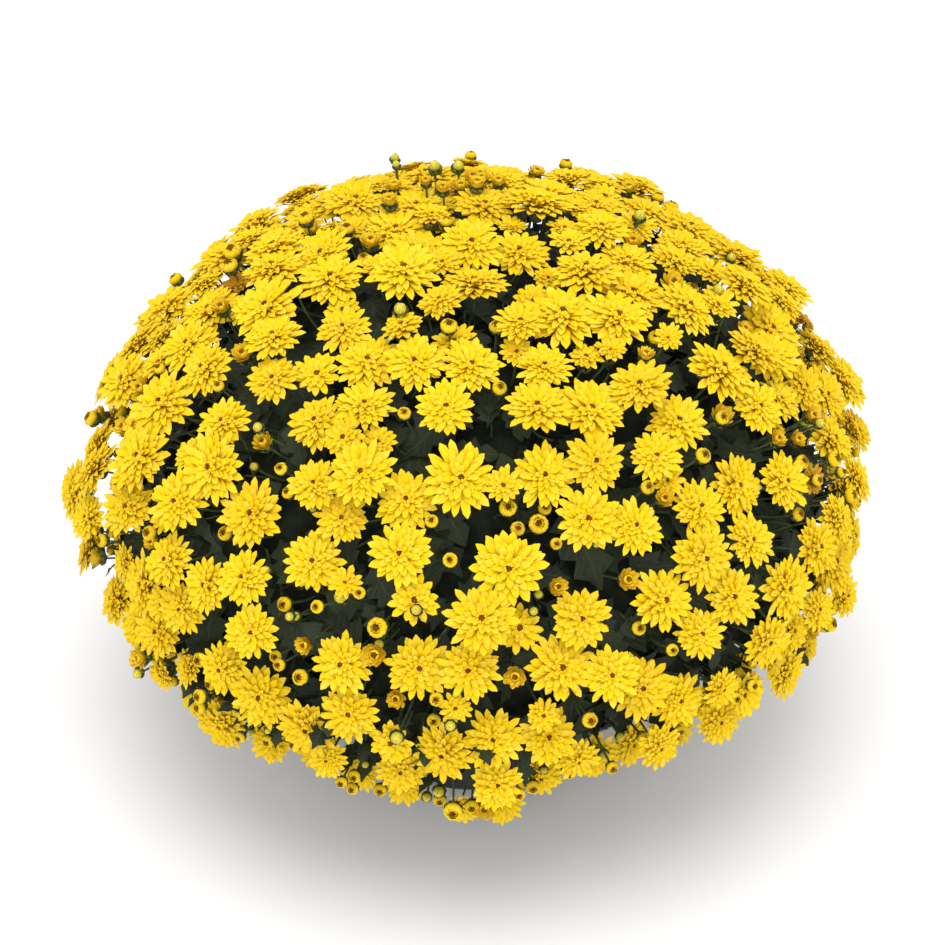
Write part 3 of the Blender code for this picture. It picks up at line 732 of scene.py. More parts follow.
def tube(path, radii, sides=5, slot=1):
    """A tube along a path of points."""
    path = np.array([tuple(point) for point in path])
    run = np.gradient(path, axis=0)
    run /= np.linalg.norm(run, axis=1)[:, None]
    aside = np.cross(run, np.array([0.31, 0.17, 0.94]))
    aside /= np.linalg.norm(aside, axis=1)[:, None]
    above = np.cross(run, aside)
    points = []
    place = []
    for side in range(sides + 1):
        angle = 2.0 * math.pi * side / sides
        ring = math.cos(angle) * aside + math.sin(angle) * above
        points.append(path + np.array(radii)[:, None] * ring)
        along = np.linspace(0.0, 1.0, len(path))
        place.append(np.stack([np.full(len(path), side / sides), along, along * 0 + 0.5, along * 0 + 0.5], axis=1))
    points = np.stack(points, axis=1).reshape(-1, 3)
    place = np.stack(place, axis=1).reshape(-1, 4)
    return Patch(points, grid_triangles(len(path), sides + 1), place, slot)


def curve(start, start_run, end, end_run, steps):
    """Points of a cubic curve that leaves start and reaches end along the given runs."""
    points = []
    for k in range(steps + 1):
        t = k / steps
        s = 1.0 - t
        first = start + start_run
        second = end - end_run
        points.append(s**3 * start + 3 * s * s * t * first + 3 * s * t * t * second + t**3 * end)
    return points


def head_stalk(head, root, draw):
    """A thin stalk from a spray's root to the calyx of one of its heads."""
    neck = head.centre - 0.62 * head.radius * head.axis
    away = neck - root
    start_run = 0.45 * away + 0.10 * away.length * random_vector(draw)
    path = curve(root, start_run, neck, 0.35 * away.length * head.axis, STALK_STEPS)
    radii = np.linspace(1.5 * STALK_RADIUS, STALK_RADIUS, STALK_STEPS + 1)
    return tube(path, radii, 3)


def random_vector(draw):
    return Vector((draw.gauss(0.0, 1.0), draw.gauss(0.0, 1.0), draw.gauss(0.0, 1.0))) / math.sqrt(3.0)


def leaf_shape(draw):
    """A lobed leaf one unit long along +X, its upper face up, folded, arched and a little wavy."""
    along = np.linspace(0.0, 1.0, LEAF_ROWS)
    phase = draw.uniform(0.30, 0.36)
    lobes = 0.72 + 0.28 * np.cos(2.0 * np.pi * (along - phase) / 0.25)
    blade = np.sin(np.pi * np.clip((along - 0.10) / 0.90, 0.0, 1.0) ** 0.85) ** 0.75
    half = np.maximum(0.36 * lobes * blade, 0.016)
    arch = draw.uniform(0.10, 0.45)
    fold = draw.uniform(0.10, 0.40)
    twist = draw.uniform(-0.5, 0.5)
    points = []
    place = []
    for column in LEAF_COLUMNS:
        forward = along + 0.30 * half * abs(column) - 0.10 * abs(column) * blade
        aside = column * half
        rise = fold * abs(column) * half - arch * along**2 + twist * column * half * along
        rise = rise + 0.02 * abs(column) * np.sin(14.0 * along + 2.0 * column)
        points.append(np.stack([forward, aside, rise], axis=1))
        spot = np.full(LEAF_ROWS, 0.5 + 0.5 * column)
        place.append(np.stack([spot, along, half * 2.0, spot * 0.0 + draw.random()], axis=1))
    points = np.stack(points, axis=1).reshape(-1, 3)
    place = np.stack(place, axis=1).reshape(-1, 4)
    return Patch(points, grid_triangles(LEAF_ROWS, len(LEAF_COLUMNS)), place, 0)


def placed(origin, x_axis, z_axis, scale):
    """A matrix that puts a shape at origin, its Z along z_axis and its X as near x_axis as it can be."""
    z = z_axis.normalized()
    y = z.cross(x_axis).normalized()
    x = y.cross(z)
    turn = Matrix((x, y, z)).transposed().to_4x4()
    return Matrix.Translation(origin) @ turn @ Matrix.Scale(scale, 4)


def scatter_leaves(shapes, count, offsets, lengths, tilt, draw):
    """Leaves spread evenly below the blooms' shell: (base, patch) pairs."""
    leaves = []
    for k in range(count):
        latitude = even_latitude((k + draw.random()) / count)
        azimuth = draw.uniform(-math.pi, math.pi)
        normal = shell_normal(azimuth, latitude)
        offset = draw.uniform(*offsets)
        point = shell_point(azimuth, latitude) + (offset + sag(azimuth, latitude)) * normal
        face = (normal + tilt * random_vector(draw) + 0.3 * UP).normalized()
        length = draw.uniform(*lengths)
        along = random_vector(draw)
        along = (along - along.dot(face) * face).normalized()
        matrix = placed(point - 0.5 * length * along, along, face, length)
        leaves.append((point, draw.choice(shapes).moved(matrix)))
    return leaves


def leaf_stalk(leaf, base, draw):
    """The thin stalk from a leaf's foot towards the middle of the plant."""
    foot = Vector(leaf.points[0])
    inward = (Vector((0.0, 0.0, BELT_HEIGHT)) - base).normalized()
    path = curve(foot + 0.016 * inward, 0.004 * random_vector(draw), foot, -0.004 * inward, 3)
    return tube(path, [0.0008] * 4, 3)


def branch_stems(direction, roots, draw):
    """A branch's stem, and the side stems that part from it towards the sprays' roots."""
    foot, target = stem_path(direction)
    path = [foot.lerp(target, k / 6) for k in range(7)]
    stems = [tube(path, np.linspace(1.1 * STEM_RADIUS, 0.8 * STEM_RADIUS, 7), 8)]
    for root in roots:
        away = root - target
        bend = 0.4 * away + 0.15 * away.length * random_vector(draw)
        path = curve(target, bend, root, 0.4 * away, 5)
        stems.append(tube(path, np.linspace(0.7 * STEM_RADIUS, 1.6 * STALK_RADIUS, 6), 5))
    return stems


# Materials


class Nodes:
    """A material's shader with short ways to add and link nodes."""

    def __init__(self, name, **numbers):
        self.material = bpy.data.materials.new(name)
        self.material.use_nodes = True
        self.tree = self.material.node_tree
        self.shader = self.tree.nodes["Principled BSDF"]
        for socket, value in numbers.items():
            self.shader.inputs[socket.replace("_", " ")].default_value = value

    def add(self, kind, **settings):
        node = self.tree.nodes.new(kind)
        for key, value in settings.items():
            setattr(node, key, value)
        return node

    def link(self, source, target):
        self.tree.links.new(source, target)

    def place(self):
        """The across, along and layer values, and chance, of the mesh's place attribute."""
        node = self.add("ShaderNodeAttribute", attribute_name="place")
        split = self.add("ShaderNodeSeparateColor")
        self.link(node.outputs["Color"], split.inputs[0])
        return split.outputs[0], split.outputs[1], split.outputs[2], node.outputs["Alpha"]

    def math(self, operation, first, second=0.0):
        node = self.add("ShaderNodeMath", operation=operation)
        for socket, value in zip(node.inputs, (first, second)):
            if isinstance(value, (int, float)):
                socket.default_value = value
            else:
                self.link(value, socket)
        return node.outputs[0]

    def ramp(self, factor, stops):
        node = self.add("ShaderNodeValToRGB")
        while len(node.color_ramp.elements) < len(stops):
            node.color_ramp.elements.new(0.5)
        for element, (position, colour) in zip(node.color_ramp.elements, stops):
            element.position = position
            element.color = (*colour, 1.0)
        self.link(factor, node.inputs[0])
        return node.outputs[0]

    def blend(self, factor, first, second, kind="MIX"):
        node = self.add("ShaderNodeMix", data_type="RGBA", blend_type=kind)
        for socket, value in zip((node.inputs[0], node.inputs[6], node.inputs[7]), (factor, first, second)):
            if isinstance(value, tuple):
                socket.default_value = (*value, 1.0)
            elif isinstance(value, (int, float)):
                socket.default_value = value
            else:
                self.link(value, socket)
        return node.outputs[2]

    def noise(self, scale, detail=3.0):
        place = self.add("ShaderNodeTexCoord")
        node = self.add("ShaderNodeTexNoise")
        node.inputs["Scale"].default_value = scale
        node.inputs["Detail"].default_value = detail
        self.link(place.outputs["Object"], node.inputs["Vector"])
        return node.outputs["Fac"]

    def bump(self, height, strength, distance):
        node = self.add("ShaderNodeBump")
        node.inputs["Strength"].default_value = strength
        node.inputs["Distance"].default_value = distance
        self.link(height, node.inputs["Height"])
        self.link(node.outputs[0], self.shader.inputs["Normal"])

    def colour(self, socket):
        self.link(socket, self.shader.inputs["Base Color"])
        return self.material


def petal_material():
    """Clear yellow with painted shade that turns it orange towards the foot and along the edges, painted highlights
    on random petals, and fine lengthwise lines; old petals turn orange-brown.
    """
    nodes = Nodes("petal", Roughness=0.65, Specular_IOR_Level=0.06)
    across, along, _, chance = nodes.place()
    # Painted shade: the yellow deepens to orange towards the petal's foot, where the rings lie in each other's shade,
    # and pales a little to the tip.
    yellow = nodes.ramp(
        along,
        (
            (0.00, (0.76, 0.460, 0.001)),
            (0.35, (0.79, 0.510, 0.001)),
            (0.62, (0.80, 0.535, 0.002)),
            (1.00, (0.81, 0.565, 0.014)),
        ),
    )
    # Painted highlight: petals picked at random are blended towards a paler, warmer yellow.
    yellow = nodes.blend(nodes.math("MULTIPLY", nodes.math("POWER", chance, 2.0), 0.40), yellow, (0.85, 0.65, 0.075))
    lines = nodes.math("SINE", nodes.math("MULTIPLY", across, 30.0))
    # Painted shade: the petal's edges darken to orange-brown, standing in for the shade in the gaps between
    # overlapping petals.
    edge = nodes.math("MULTIPLY", nodes.math("ABSOLUTE", nodes.math("SUBTRACT", across, 0.5)), 2.0)
    edge_shade = nodes.math("MULTIPLY", nodes.math("POWER", edge, 5.0), 0.26)
    yellow = nodes.blend(edge_shade, yellow, (0.66, 0.36, 0.002))
    age = nodes.add("ShaderNodeAttribute", attribute_name="age")
    yellow = nodes.blend(age.outputs["Fac"], yellow, (0.42, 0.150, 0.012))
    nodes.bump(lines, 0.25, 0.0004)
    return nodes.colour(yellow)


def eye_material():
    nodes = Nodes("petal_eye", Roughness=0.90, Specular_IOR_Level=0.1)
    return nodes.colour(nodes.ramp(nodes.noise(900.0), ((0.35, (0.07, 0.020, 0.003)), (0.65, (0.26, 0.095, 0.005)))))


def closed_material():
    """Petals of a closed bud: yellow with green at the foot and between the petals."""
    nodes = Nodes("petal_closed", Roughness=0.50, Specular_IOR_Level=0.30)
    across, along, layer, chance = nodes.place()
    colour = nodes.ramp(along, ((0.10, (0.16, 0.22, 0.03)), (0.50, (0.62, 0.52, 0.04)), (1.00, (0.80, 0.62, 0.05))))
    edge = nodes.math("ABSOLUTE", nodes.math("SUBTRACT", across, 0.5))
    edge = nodes.math("MULTIPLY", nodes.math("POWER", nodes.math("MULTIPLY", edge, 2.0), 3.0), 0.8)
    return nodes.colour(nodes.blend(edge, colour, (0.14, 0.17, 0.02)))


def leaf_material():
    """Dark green with a paler midrib and side veins, matt, and slightly quilted between the veins."""
    nodes = Nodes("leaf_blade", Roughness=0.60, Specular_IOR_Level=0.25)
    across, along, layer, chance = nodes.place()
    patchy = nodes.ramp(nodes.noise(60.0), ((0.30, (0.012, 0.017, 0.008)), (0.70, (0.024, 0.034, 0.014))))
    green = nodes.blend(nodes.math("MULTIPLY", chance, 0.5), patchy, (0.030, 0.044, 0.017))
    aside = nodes.math("ABSOLUTE", nodes.math("SUBTRACT", across, 0.5))
    midrib = nodes.math("SUBTRACT", 1.0, nodes.math("MULTIPLY", aside, 14.0))
    slanted = nodes.math("SUBTRACT", nodes.math("MULTIPLY", along, 26.0), nodes.math("MULTIPLY", aside, 16.0))
    veins = nodes.math("POWER", nodes.math("ABSOLUTE", nodes.math("COSINE", slanted)), 12.0)
    ribs = nodes.math("MAXIMUM", nodes.math("MAXIMUM", midrib, 0.0), nodes.math("MULTIPLY", veins, 0.6))
    nodes.bump(ribs, 0.5, -0.0006)
    return nodes.colour(nodes.blend(nodes.math("MULTIPLY", ribs, 0.5), green, (0.060, 0.078, 0.034)))


def stalk_material():
    nodes = Nodes("leaf_stalk", Roughness=0.60, Specular_IOR_Level=0.30)
    streaks = nodes.noise(160.0)
    nodes.bump(streaks, 0.3, 0.0003)
    return nodes.colour(nodes.ramp(streaks, ((0.30, (0.055, 0.085, 0.028)), (0.70, (0.110, 0.150, 0.050)))))


def calyx_material():
    nodes = Nodes("leaf_calyx", Roughness=0.60, Specular_IOR_Level=0.30)
    across, along, layer, chance = nodes.place()
    green = nodes.ramp(along, ((0.0, (0.050, 0.085, 0.026)), (0.7, (0.100, 0.140, 0.040)), (1.0, (0.20, 0.19, 0.06))))
    return nodes.colour(nodes.blend(nodes.math("MULTIPLY", chance, 0.4), green, (0.045, 0.070, 0.022)))


def inner_shade_material():
    nodes = Nodes("leaf_inner_shade", Roughness=0.85, Specular_IOR_Level=0.15)
    rough = nodes.noise(110.0, 6.0)
    nodes.bump(rough, 1.0, 0.004)
    # Painted shade: a near-black green stands in for the deep shade inside the foliage, mottled by the noise.
    return nodes.colour(nodes.ramp(rough, ((0.35, (0.005, 0.007, 0.004)), (0.65, (0.018, 0.024, 0.011)))))


def pot_material():
    """Dark plastic with a faint moulding grain and a dusty bloom."""
    nodes = Nodes("pot_plastic", Specular_IOR_Level=0.45)
    grain = nodes.noise(700.0, 4.0)
    nodes.bump(grain, 0.15, 0.0004)
    dust = nodes.noise(22.0, 5.0)
    roughness = nodes.math("ADD", nodes.math("MULTIPLY", dust, 0.25), 0.32)
    nodes.link(roughness, nodes.shader.inputs["Roughness"])
    return nodes.colour(nodes.ramp(dust, ((0.35, (0.016, 0.020, 0.018)), (0.75, (0.040, 0.044, 0.038)))))


def soil_material():
    nodes = Nodes("potting_soil", Roughness=0.95, Specular_IOR_Level=0.15)
    crumbs = nodes.noise(420.0, 8.0)
    nodes.bump(crumbs, 1.0, 0.003)
    return nodes.colour(nodes.ramp(crumbs, ((0.35, (0.014, 0.009, 0.006)), (0.60, (0.050, 0.030, 0.018)), (0.75, (0.12, 0.08, 0.05)))))


def floor_material():
    nodes = Nodes("studio_floor", Roughness=0.9, Specular_IOR_Level=0.1)
    return nodes.colour(nodes.ramp(nodes.noise(3.0), ((0.0, (0.895, 0.892, 0.889)), (1.0, (0.905, 0.902, 0.899)))))


# The plant


def head_matrix(head, rise, tilt, scale, draw):
    """Places a shape at a head, turned and tilted at random, raised along its axis and leaning to the light."""
    axis = (head.axis + HEAD_LEAN + tilt * random_vector(draw)).normalized()
    spin = Matrix.Rotation(draw.uniform(-math.pi, math.pi), 3, axis)
    origin = head.centre + rise * head.radius * head.axis
    return placed(origin, spin @ head.forward, axis, scale * head.radius)


def bloom_age(draw, faded_share):
    return draw.uniform(0.50, 0.85) if draw.random() < faded_share else 0.12 * draw.random() ** 2


def height_scale(latitude):
    """The blooms are fuller towards the top of the dome and smaller on its skirt."""
    if latitude > 0.0:
        return mix(1.0, TOP_SCALE, math.sin(latitude))
    return mix(1.0, SKIRT_SCALE, latitude / LOWEST_LATITUDE)


def build_sprays(sprays, draw, materials):
    """One piece of open blooms for each spray, and the calyx under each bloom."""
    shapes = [open_bloom(draw) for _ in range(OPEN_SHAPES)]
    cup = calyx(-0.30, 0.36)
    cups = []
    for index, spray in enumerate(sprays):
        blooms = []
        ages = []
        for head in spray:
            scale = draw.uniform(*OPEN_SCALE) * height_scale(head.latitude)
            matrix = head_matrix(head, draw.uniform(*OPEN_RISE), OPEN_TILT, scale, draw)
            blooms.append(draw.choice(shapes).moved(matrix))
            ages.append(bloom_age(draw, FADED_SHARE))
            cups.append((head, cup.moved(matrix @ Matrix.Scale(0.52, 4))))
        name = f"spray_{index + 1:02d}"
        obj = make_piece(name + "_blooms", blooms, materials, ages)
        dress(obj, "petal", name)
    return cups


def shell_place(topward):
    """Gives points all over the dome, more of them near its top with a topward over one."""
    return lambda draw: shell_point(draw.uniform(-math.pi, math.pi), even_latitude(draw.random() ** topward))


def tuft_point(draw):
    x, y = (middle + draw.uniform(-spread, spread) for middle, spread in zip(TUFT_CUP_MIDDLE, TUFT_CUP_SPREAD))
    return Vector((x, y, BELT_HEIGHT + DOME_RISE))


def rim_point(draw):
    return shell_point(leafy_azimuth(draw), math.radians(draw.uniform(*RIM_BUD_LATITUDES)))


def filling_heads(wanted, radii, offsets, room, place, others, draw):
    """Heads in the spaces that the other heads leave."""
    heads = []
    for _ in range(6000):
        if len(heads) == wanted:
            break
        head = Head(place(draw), draw.uniform(*radii), draw.uniform(*offsets))
        if all((head.centre - b.centre).length > room * (b.radius + head.radius) for b in others + heads):
            heads.append(head)
    return heads


def low_bud_heads(draw):
    """Small closed buds that sit lower than the blooms, between the leaves."""
    heads = []
    for k in range(LOW_BUDS):
        point = shell_point(draw.uniform(-math.pi, math.pi), even_latitude((k + draw.random()) / LOW_BUDS))
        heads.append(Head(point, draw.uniform(*LOW_BUD_RADII), draw.uniform(*LOW_BUD_OFFSETS)))
    return heads


def build_heads(kinds, directions, draw):
    """Half-open blooms and buds, sorted by branch: their petals, their ages and their calyxes."""
    petals = [[] for _ in directions]
    ages = [[] for _ in directions]
    cups = []
    for heads, shapes, cup, tilt, scale, faded in kinds:
        for head in heads:
            matrix = head_matrix(head, 0.0, tilt, scale, draw)
            index = branch_of(head.centre, directions)
            petals[index].append(draw.choice(shapes).moved(matrix))
            ages[index].append(bloom_age(draw, faded))
            cups.append((head, cup.moved(matrix)))
    return petals, ages, cups


def closed(shapes):
    """The same shapes in the closed petals' material."""
    for shape in shapes:
        shape.slots = np.full(len(shape.slots), 2)
    return shapes


def build_plant(materials):
    draw = random.Random(SEED)
    sprays = grow_sprays(draw)
    blooms = [bloom for spray in sprays for bloom in spray]
    buds = place_buds(draw, blooms)
    directions = branch_directions()
    draw = random.Random(DRESSING_SEED)
    cups = build_sprays(sprays, draw, materials["bloom"])

    place = shell_place(YOUNG_TOPWARD)
    young = filling_heads(YOUNG_BLOOMS, YOUNG_RADII, YOUNG_OFFSETS, YOUNG_ROOM, place, blooms, draw)
    opening = filling_heads(CUPS, CUP_RADII, CUP_OFFSETS, CUP_ROOM, shell_place(1.0), blooms + young, draw)
    others = blooms + young + opening + buds[:TUFT_BUDS]
    opening += filling_heads(TUFT_CUPS, TUFT_CUP_RADII, TUFT_CUP_OFFSETS, TUFT_CUP_ROOM, tuft_point, others, draw)
    clear = [bud for bud in buds if all((bud.centre - b.centre).length > 0.5 * b.radius for b in young + opening)]
    others = blooms + young + opening + clear
    extra = filling_heads(RIM_BUDS, RIM_BUD_RADII, RIM_BUD_OFFSETS, RIM_BUD_ROOM, rim_point, others, draw)
    place = shell_place(BUTTON_TOPWARD)
    others += extra
    extra += filling_heads(EXTRA_BUTTONS, EXTRA_BUTTON_RADII, EXTRA_BUTTON_OFFSETS, CUP_ROOM, place, others, draw)
    tight = [bud for bud in clear if bud in buds[:TUFT_BUDS] or draw.random() < TIGHT_SHARE]
    buttons = [bud for bud in clear if bud not in tight] + extra
    low = low_bud_heads(draw)
    young_shapes = [young_bloom(draw) for _ in range(YOUNG_SHAPES)]
    cup_shapes = [cup_bloom(draw) for _ in range(CUP_SHAPES)]
    button_shapes = [button_bud(draw) for _ in range(BUTTON_SHAPES)]
    tight_shapes = closed([tight_bud(draw) for _ in range(TIGHT_SHAPES)])
    kinds = (
        (young, young_shapes, calyx(-0.30, 0.42), 0.25, 1.0, YOUNG_FADED_SHARE),
        (opening, cup_shapes, calyx(-0.30, 0.62), 0.20, 1.0, 0.0),
        (buttons, button_shapes, calyx(-0.05, 0.86), 0.15, 1.0, 0.0),
        (tight, tight_shapes, calyx(0.10, 0.92), 0.25, TIGHT_SCALE, 0.0),
        (low, tight_shapes, calyx(0.10, 0.92), 0.25, 1.0, 0.0),
    )
    petals, ages, bud_cups = build_heads(kinds, directions, draw)
    for index, (patches, values) in enumerate(zip(petals, ages)):
        name = f"branch_{index + 1:02d}"
        dress(make_piece(name + "_buds", patches, materials["bloom"], values), "petal", name)

    greens = [[] for _ in directions]
    for head, cup in cups + bud_cups:
        cup.slots = np.full(len(cup.slots), 2)
        greens[branch_of(head.centre, directions)].append(cup)
    for head, root in stalk_roots(sprays, young + opening + tight + buttons + low):
        greens[branch_of(head.centre, directions)].append(head_stalk(head, root, draw))
    for base, leaf in plant_leaves(draw):
        index = branch_of(base, directions)
        greens[index].append(leaf)
        greens[index].append(leaf_stalk(leaf, base, draw))
    for index, patches in enumerate(greens):
        name = f"branch_{index + 1:02d}"
        roots = [root_of(spray[0]) for spray in sprays if branch_of(spray[0].centre, directions) == index]
        patches.extend(branch_stems(directions[index], roots, draw))
        dress(make_piece(name + "_greens", patches, materials["green"]), "leaf", name)


def stalk_roots(sprays, others):
    """Every head with the place that its stalk grows from: a spray's heads share their first head's root."""
    pairs = [(head, root_of(spray[0])) for spray in sprays for head in spray]
    return pairs + [(head, root_of(head)) for head in others]


def plant_leaves(draw):
    shapes = [leaf_shape(draw) for _ in range(LEAF_SHAPES)]
    upper = scatter_leaves(shapes, UPPER_LEAVES, UPPER_LEAF_OFFSETS, UPPER_LEAF_LENGTHS, UPPER_LEAF_TILT, draw)
    deep = scatter_leaves(shapes, DEEP_LEAVES, DEEP_LEAF_OFFSETS, DEEP_LEAF_LENGTHS, DEEP_LEAF_TILT, draw)
    return upper + deep + skirt_leaves(shapes, draw) + rim_leaves(shapes, draw)


def leafy_azimuth(draw):
    """A direction round the rim, more often on the side where the photograph has leaves and buds there."""
    return draw.gauss(*LEAFY_SIDE) if draw.random() < LEAFY_SHARE else draw.uniform(-math.pi, math.pi)


def rim_leaves(shapes, draw):
    """Leaves between the lowest blooms, standing out to the rim of the dome."""
    leaves = []
    for _ in range(RIM_LEAVES):
        azimuth = leafy_azimuth(draw)
        latitude = math.radians(draw.uniform(*RIM_LEAF_LATITUDES))
        normal = shell_normal(azimuth, latitude)
        offset = draw.uniform(*RIM_LEAF_OFFSETS) + sag(azimuth, latitude)
        tip = shell_point(azimuth, latitude) + offset * normal
        along = (normal + 0.5 * random_vector(draw) - 0.1 * UP).normalized()
        face = (UP + 0.5 * random_vector(draw)).normalized()
        length = draw.uniform(*RIM_LEAF_LENGTHS)
        base = tip - length * along
        leaves.append((base, draw.choice(shapes).moved(placed(base, along, face, length))))
    return leaves


def skirt_leaves(shapes, draw):
    """Leaves that hang from the underside of the skirt, round the pot."""
    leaves = []
    for _ in range(SKIRT_LEAVES):
        azimuth = draw.uniform(-math.pi, math.pi)
        out = Vector((math.sin(azimuth), -math.cos(azimuth), 0.0))
        share = draw.random()
        radius = mix(RIM_RADIUS + POT_ROOM[0], SKIRT_FOOT[0], share)
        base = radius * out + mix(SKIRT_FOOT[1] + SKIRT_UNDERSIDE_RISE, SKIRT_FOOT[1], share) * UP
        along = (0.6 * out - 0.5 * UP + 0.5 * random_vector(draw)).normalized()
        face = (0.8 * out - 0.6 * UP + 0.4 * random_vector(draw)).normalized()
        matrix = placed(base, along, face, draw.uniform(*UPPER_LEAF_LENGTHS))
        leaves.append((base, draw.choice(shapes).moved(matrix)))
    return leaves


def inner_outline():
    """Half the outline of the foliage mass that is painted dark with shade, from its top down to the hollow over the
    soil.
    """
    corners = core_profile()[:-2]
    outline = []
    for k in range(INNER_ROWS):
        latitude = math.radians(mix(CORE_LATITUDES[0], CORE_LATITUDES[-1], k / (INNER_ROWS - 1)))
        outline.append(shell_profile(latitude, CORE_INSET))
    for start, end in zip(corners[len(CORE_LATITUDES) - 1 :], corners[len(CORE_LATITUDES) :]):
        for k in range(1, 6):
            outline.append(tuple(mix(a, b, k / 5) for a, b in zip(start, end)))
    return outline


def build_inner_foliage(finish):
    """The mass that closes the plant behind its leaves, with an uneven surface; its near-black colour is painted
    shade.
    """
    outline = inner_outline()
    points = []
    for row, (radius, height) in enumerate(outline):
        for column in range(INNER_COLUMNS + 1):
            azimuth = 2.0 * math.pi * column / INNER_COLUMNS
            uneven = 0.6 * math.sin(9 * azimuth + 0.9 * row) + 0.4 * math.sin(23 * azimuth - 1.7 * row)
            reach = radius - INNER_UNEVEN * (1.0 + uneven) * min(1.0, radius / RIM_RADIUS)
            points.append((reach * math.sin(azimuth), -reach * math.cos(azimuth), height))
    faces = grid_triangles(len(outline), INNER_COLUMNS + 1)
    patch = Patch(np.array(points), faces, np.full((len(points), 4), 0.5))
    obj = make_piece("inner_foliage", [patch], [finish])
    dress(obj, "leaf", *[f"branch_{k + 1:02d}" for k in range(len(branch_directions()))])


# The pot and the soil


def pot_outline():
    """Half the pot's section, from the middle of its underside round the wall to the middle of its floor."""
    slope = (POT_TOP_RADIUS - POT_FOOT_RADIUS) / POT_HEIGHT
    band_foot = POT_HEIGHT - RIM_BAND
    return [
        (0.0, 0.0),
        (POT_FOOT_RADIUS - FOOT_CHAMFER, 0.0),
        (POT_FOOT_RADIUS, FOOT_CHAMFER),
        (POT_FOOT_RADIUS + slope * band_foot, band_foot),
        (RIM_RADIUS - RIM_LIP, band_foot + RIM_EDGE),
        (RIM_RADIUS - RIM_EDGE, POT_HEIGHT - RIM_LIP),
        (RIM_RADIUS - RIM_EDGE, POT_HEIGHT - RIM_EDGE),
        (RIM_RADIUS - RIM_LIP, POT_HEIGHT),
        (POT_TOP_RADIUS - WALL, POT_HEIGHT - RIM_EDGE),
        (POT_FOOT_RADIUS + slope * FLOOR_THICKNESS - WALL, FLOOR_THICKNESS),
        (0.0, FLOOR_THICKNESS),
    ]


def shape_object(name, work):
    mesh = bpy.data.meshes.new(name)
    bmesh.ops.recalc_face_normals(work, faces=work.faces)
    work.to_mesh(mesh)
    work.free()
    obj = bpy.data.objects.new(name, mesh)
    bpy.context.scene.collection.objects.link(obj)
    return obj


def build_pot(finish):
    """The pot with its drain slots cut across the corner of its wall and floor."""
    work = bmesh.new()
    line = [work.verts.new((radius, 0.0, height)) for radius, height in pot_outline()]
    edges = [work.edges.new(pair) for pair in zip(line, line[1:])]
    turn = {"cent": (0.0, 0.0, 0.0), "axis": UP, "angle": 2.0 * math.pi, "steps": POT_SEGMENTS}
    bmesh.ops.spin(work, geom=line + edges, use_merge=True, **turn)
    bmesh.ops.remove_doubles(work, verts=work.verts, dist=1e-6)
    pot = shape_object("turned_pot", work)

    work = bmesh.new()
    size = Matrix.Diagonal((DRAIN_SLOT_LENGTH, DRAIN_SLOT_WIDTH, 2.0 * DRAIN_SLOT_HEIGHT, 1.0))
    for k in range(DRAIN_SLOTS):
        turned = Matrix.Rotation(2.0 * math.pi * (k + 0.5) / DRAIN_SLOTS, 4, "Z")
        bmesh.ops.create_cube(work, size=1.0, matrix=turned @ Matrix.Translation((POT_FOOT_RADIUS, 0.0, 0.0)) @ size)
    slots = shape_object("slots", work)
    cut = pot.modifiers.new("slots", "BOOLEAN")
    cut.operation = "DIFFERENCE"
    cut.object = slots
    graph = bpy.context.evaluated_depsgraph_get()
    mesh = bpy.data.meshes.new_from_object(pot.evaluated_get(graph))
    pot.modifiers.clear()
    pot.data = mesh
    bpy.data.objects.remove(slots)
    mesh.polygons.foreach_set("use_smooth", np.ones(len(mesh.polygons), dtype=bool))
    mesh.set_sharp_from_angle(angle=SHARPEST_SMOOTH)
    mesh.materials.clear()
    mesh.materials.append(finish)
    dress(pot, "pot_plastic", "pot")


def finish_soil(finish):
    """The soil keeps the part's own shape and gets its finish here."""
    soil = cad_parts["soil"].data
    soil.materials.clear()
    soil.materials.append(finish)


# Floor, light and camera


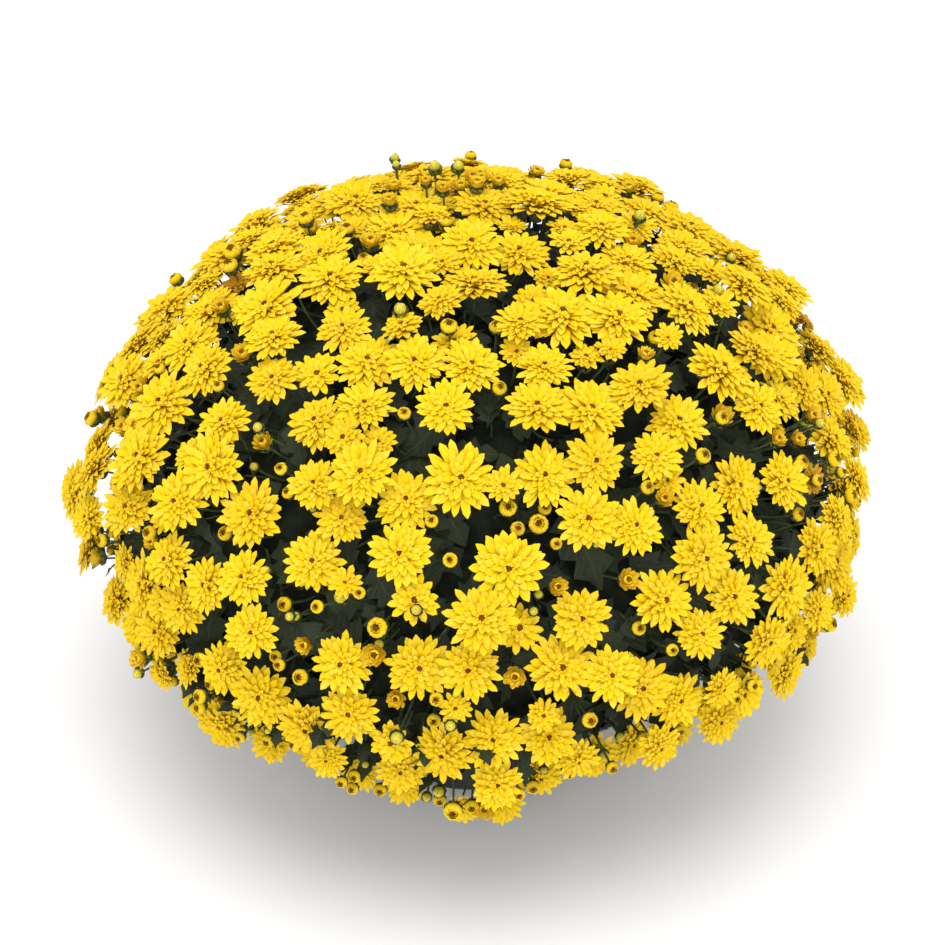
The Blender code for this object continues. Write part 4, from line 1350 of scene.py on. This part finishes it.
def add_floor():
    mesh = bpy.data.meshes.new("floor")
    half = 6.0
    mesh.from_pydata([(-half, -half, 0.0), (half, -half, 0.0), (half, half, 0.0), (-half, half, 0.0)], [], [(0, 1, 2, 3)])
    mesh.materials.append(floor_material())
    floor = bpy.data.objects.new("floor", mesh)
    floor.location.z = -0.0002
    bpy.context.scene.collection.objects.link(floor)


def add_area_light(name, place, size, power, colour):
    light = bpy.data.lights.new(name, "AREA")
    light.shape = "DISK"
    light.size = size
    light.energy = power
    light.color = colour
    obj = bpy.data.objects.new(name, light)
    obj.location = place
    obj.rotation_euler = (Vector(place) - CENTRE).to_track_quat("Z", "Y").to_euler()
    bpy.context.scene.collection.objects.link(obj)


def add_light():
    world = bpy.data.worlds.new("studio")
    bpy.context.scene.world = world
    world.use_nodes = True
    background = world.node_tree.nodes["Background"]
    background.inputs["Color"].default_value = (1.0, 1.0, 1.0, 1.0)
    background.inputs["Strength"].default_value = 1.0
    add_area_light("key", (-0.05, -0.95, 2.35), 1.5, 27.0, (1.0, 0.99, 0.97))
    add_area_light("fill", (0.0, -2.3, 1.42), 1.2, 15.0, (1.0, 0.99, 0.97))


def add_camera():
    camera = bpy.data.cameras.new("camera")
    camera.sensor_width = SENSOR
    camera.lens = CAMERA_LENS
    camera.shift_x = (FRAME_PIXELS / 2.0 - BELT_PIXEL[0]) / FRAME_PIXELS
    camera.shift_y = (BELT_PIXEL[1] - FRAME_PIXELS / 2.0) / FRAME_PIXELS
    obj = bpy.data.objects.new("camera", camera)
    back = Vector((0.0, -math.cos(CAMERA_ELEVATION), math.sin(CAMERA_ELEVATION)))
    obj.location = CENTRE + CAMERA_DISTANCE * back
    obj.rotation_euler = back.to_track_quat("Z", "Y").to_euler()
    bpy.context.scene.collection.objects.link(obj)
    bpy.context.scene.camera = obj


def main():
    bloom = [petal_material(), eye_material(), closed_material()]
    green = [leaf_material(), stalk_material(), calyx_material()]
    build_plant({"bloom": bloom, "green": green})
    build_inner_foliage(inner_shade_material())
    build_pot(pot_material())
    finish_soil(soil_material())
    add_floor()
    add_light()
    add_camera()
    bpy.context.scene.view_settings.view_transform = "Standard"


main()
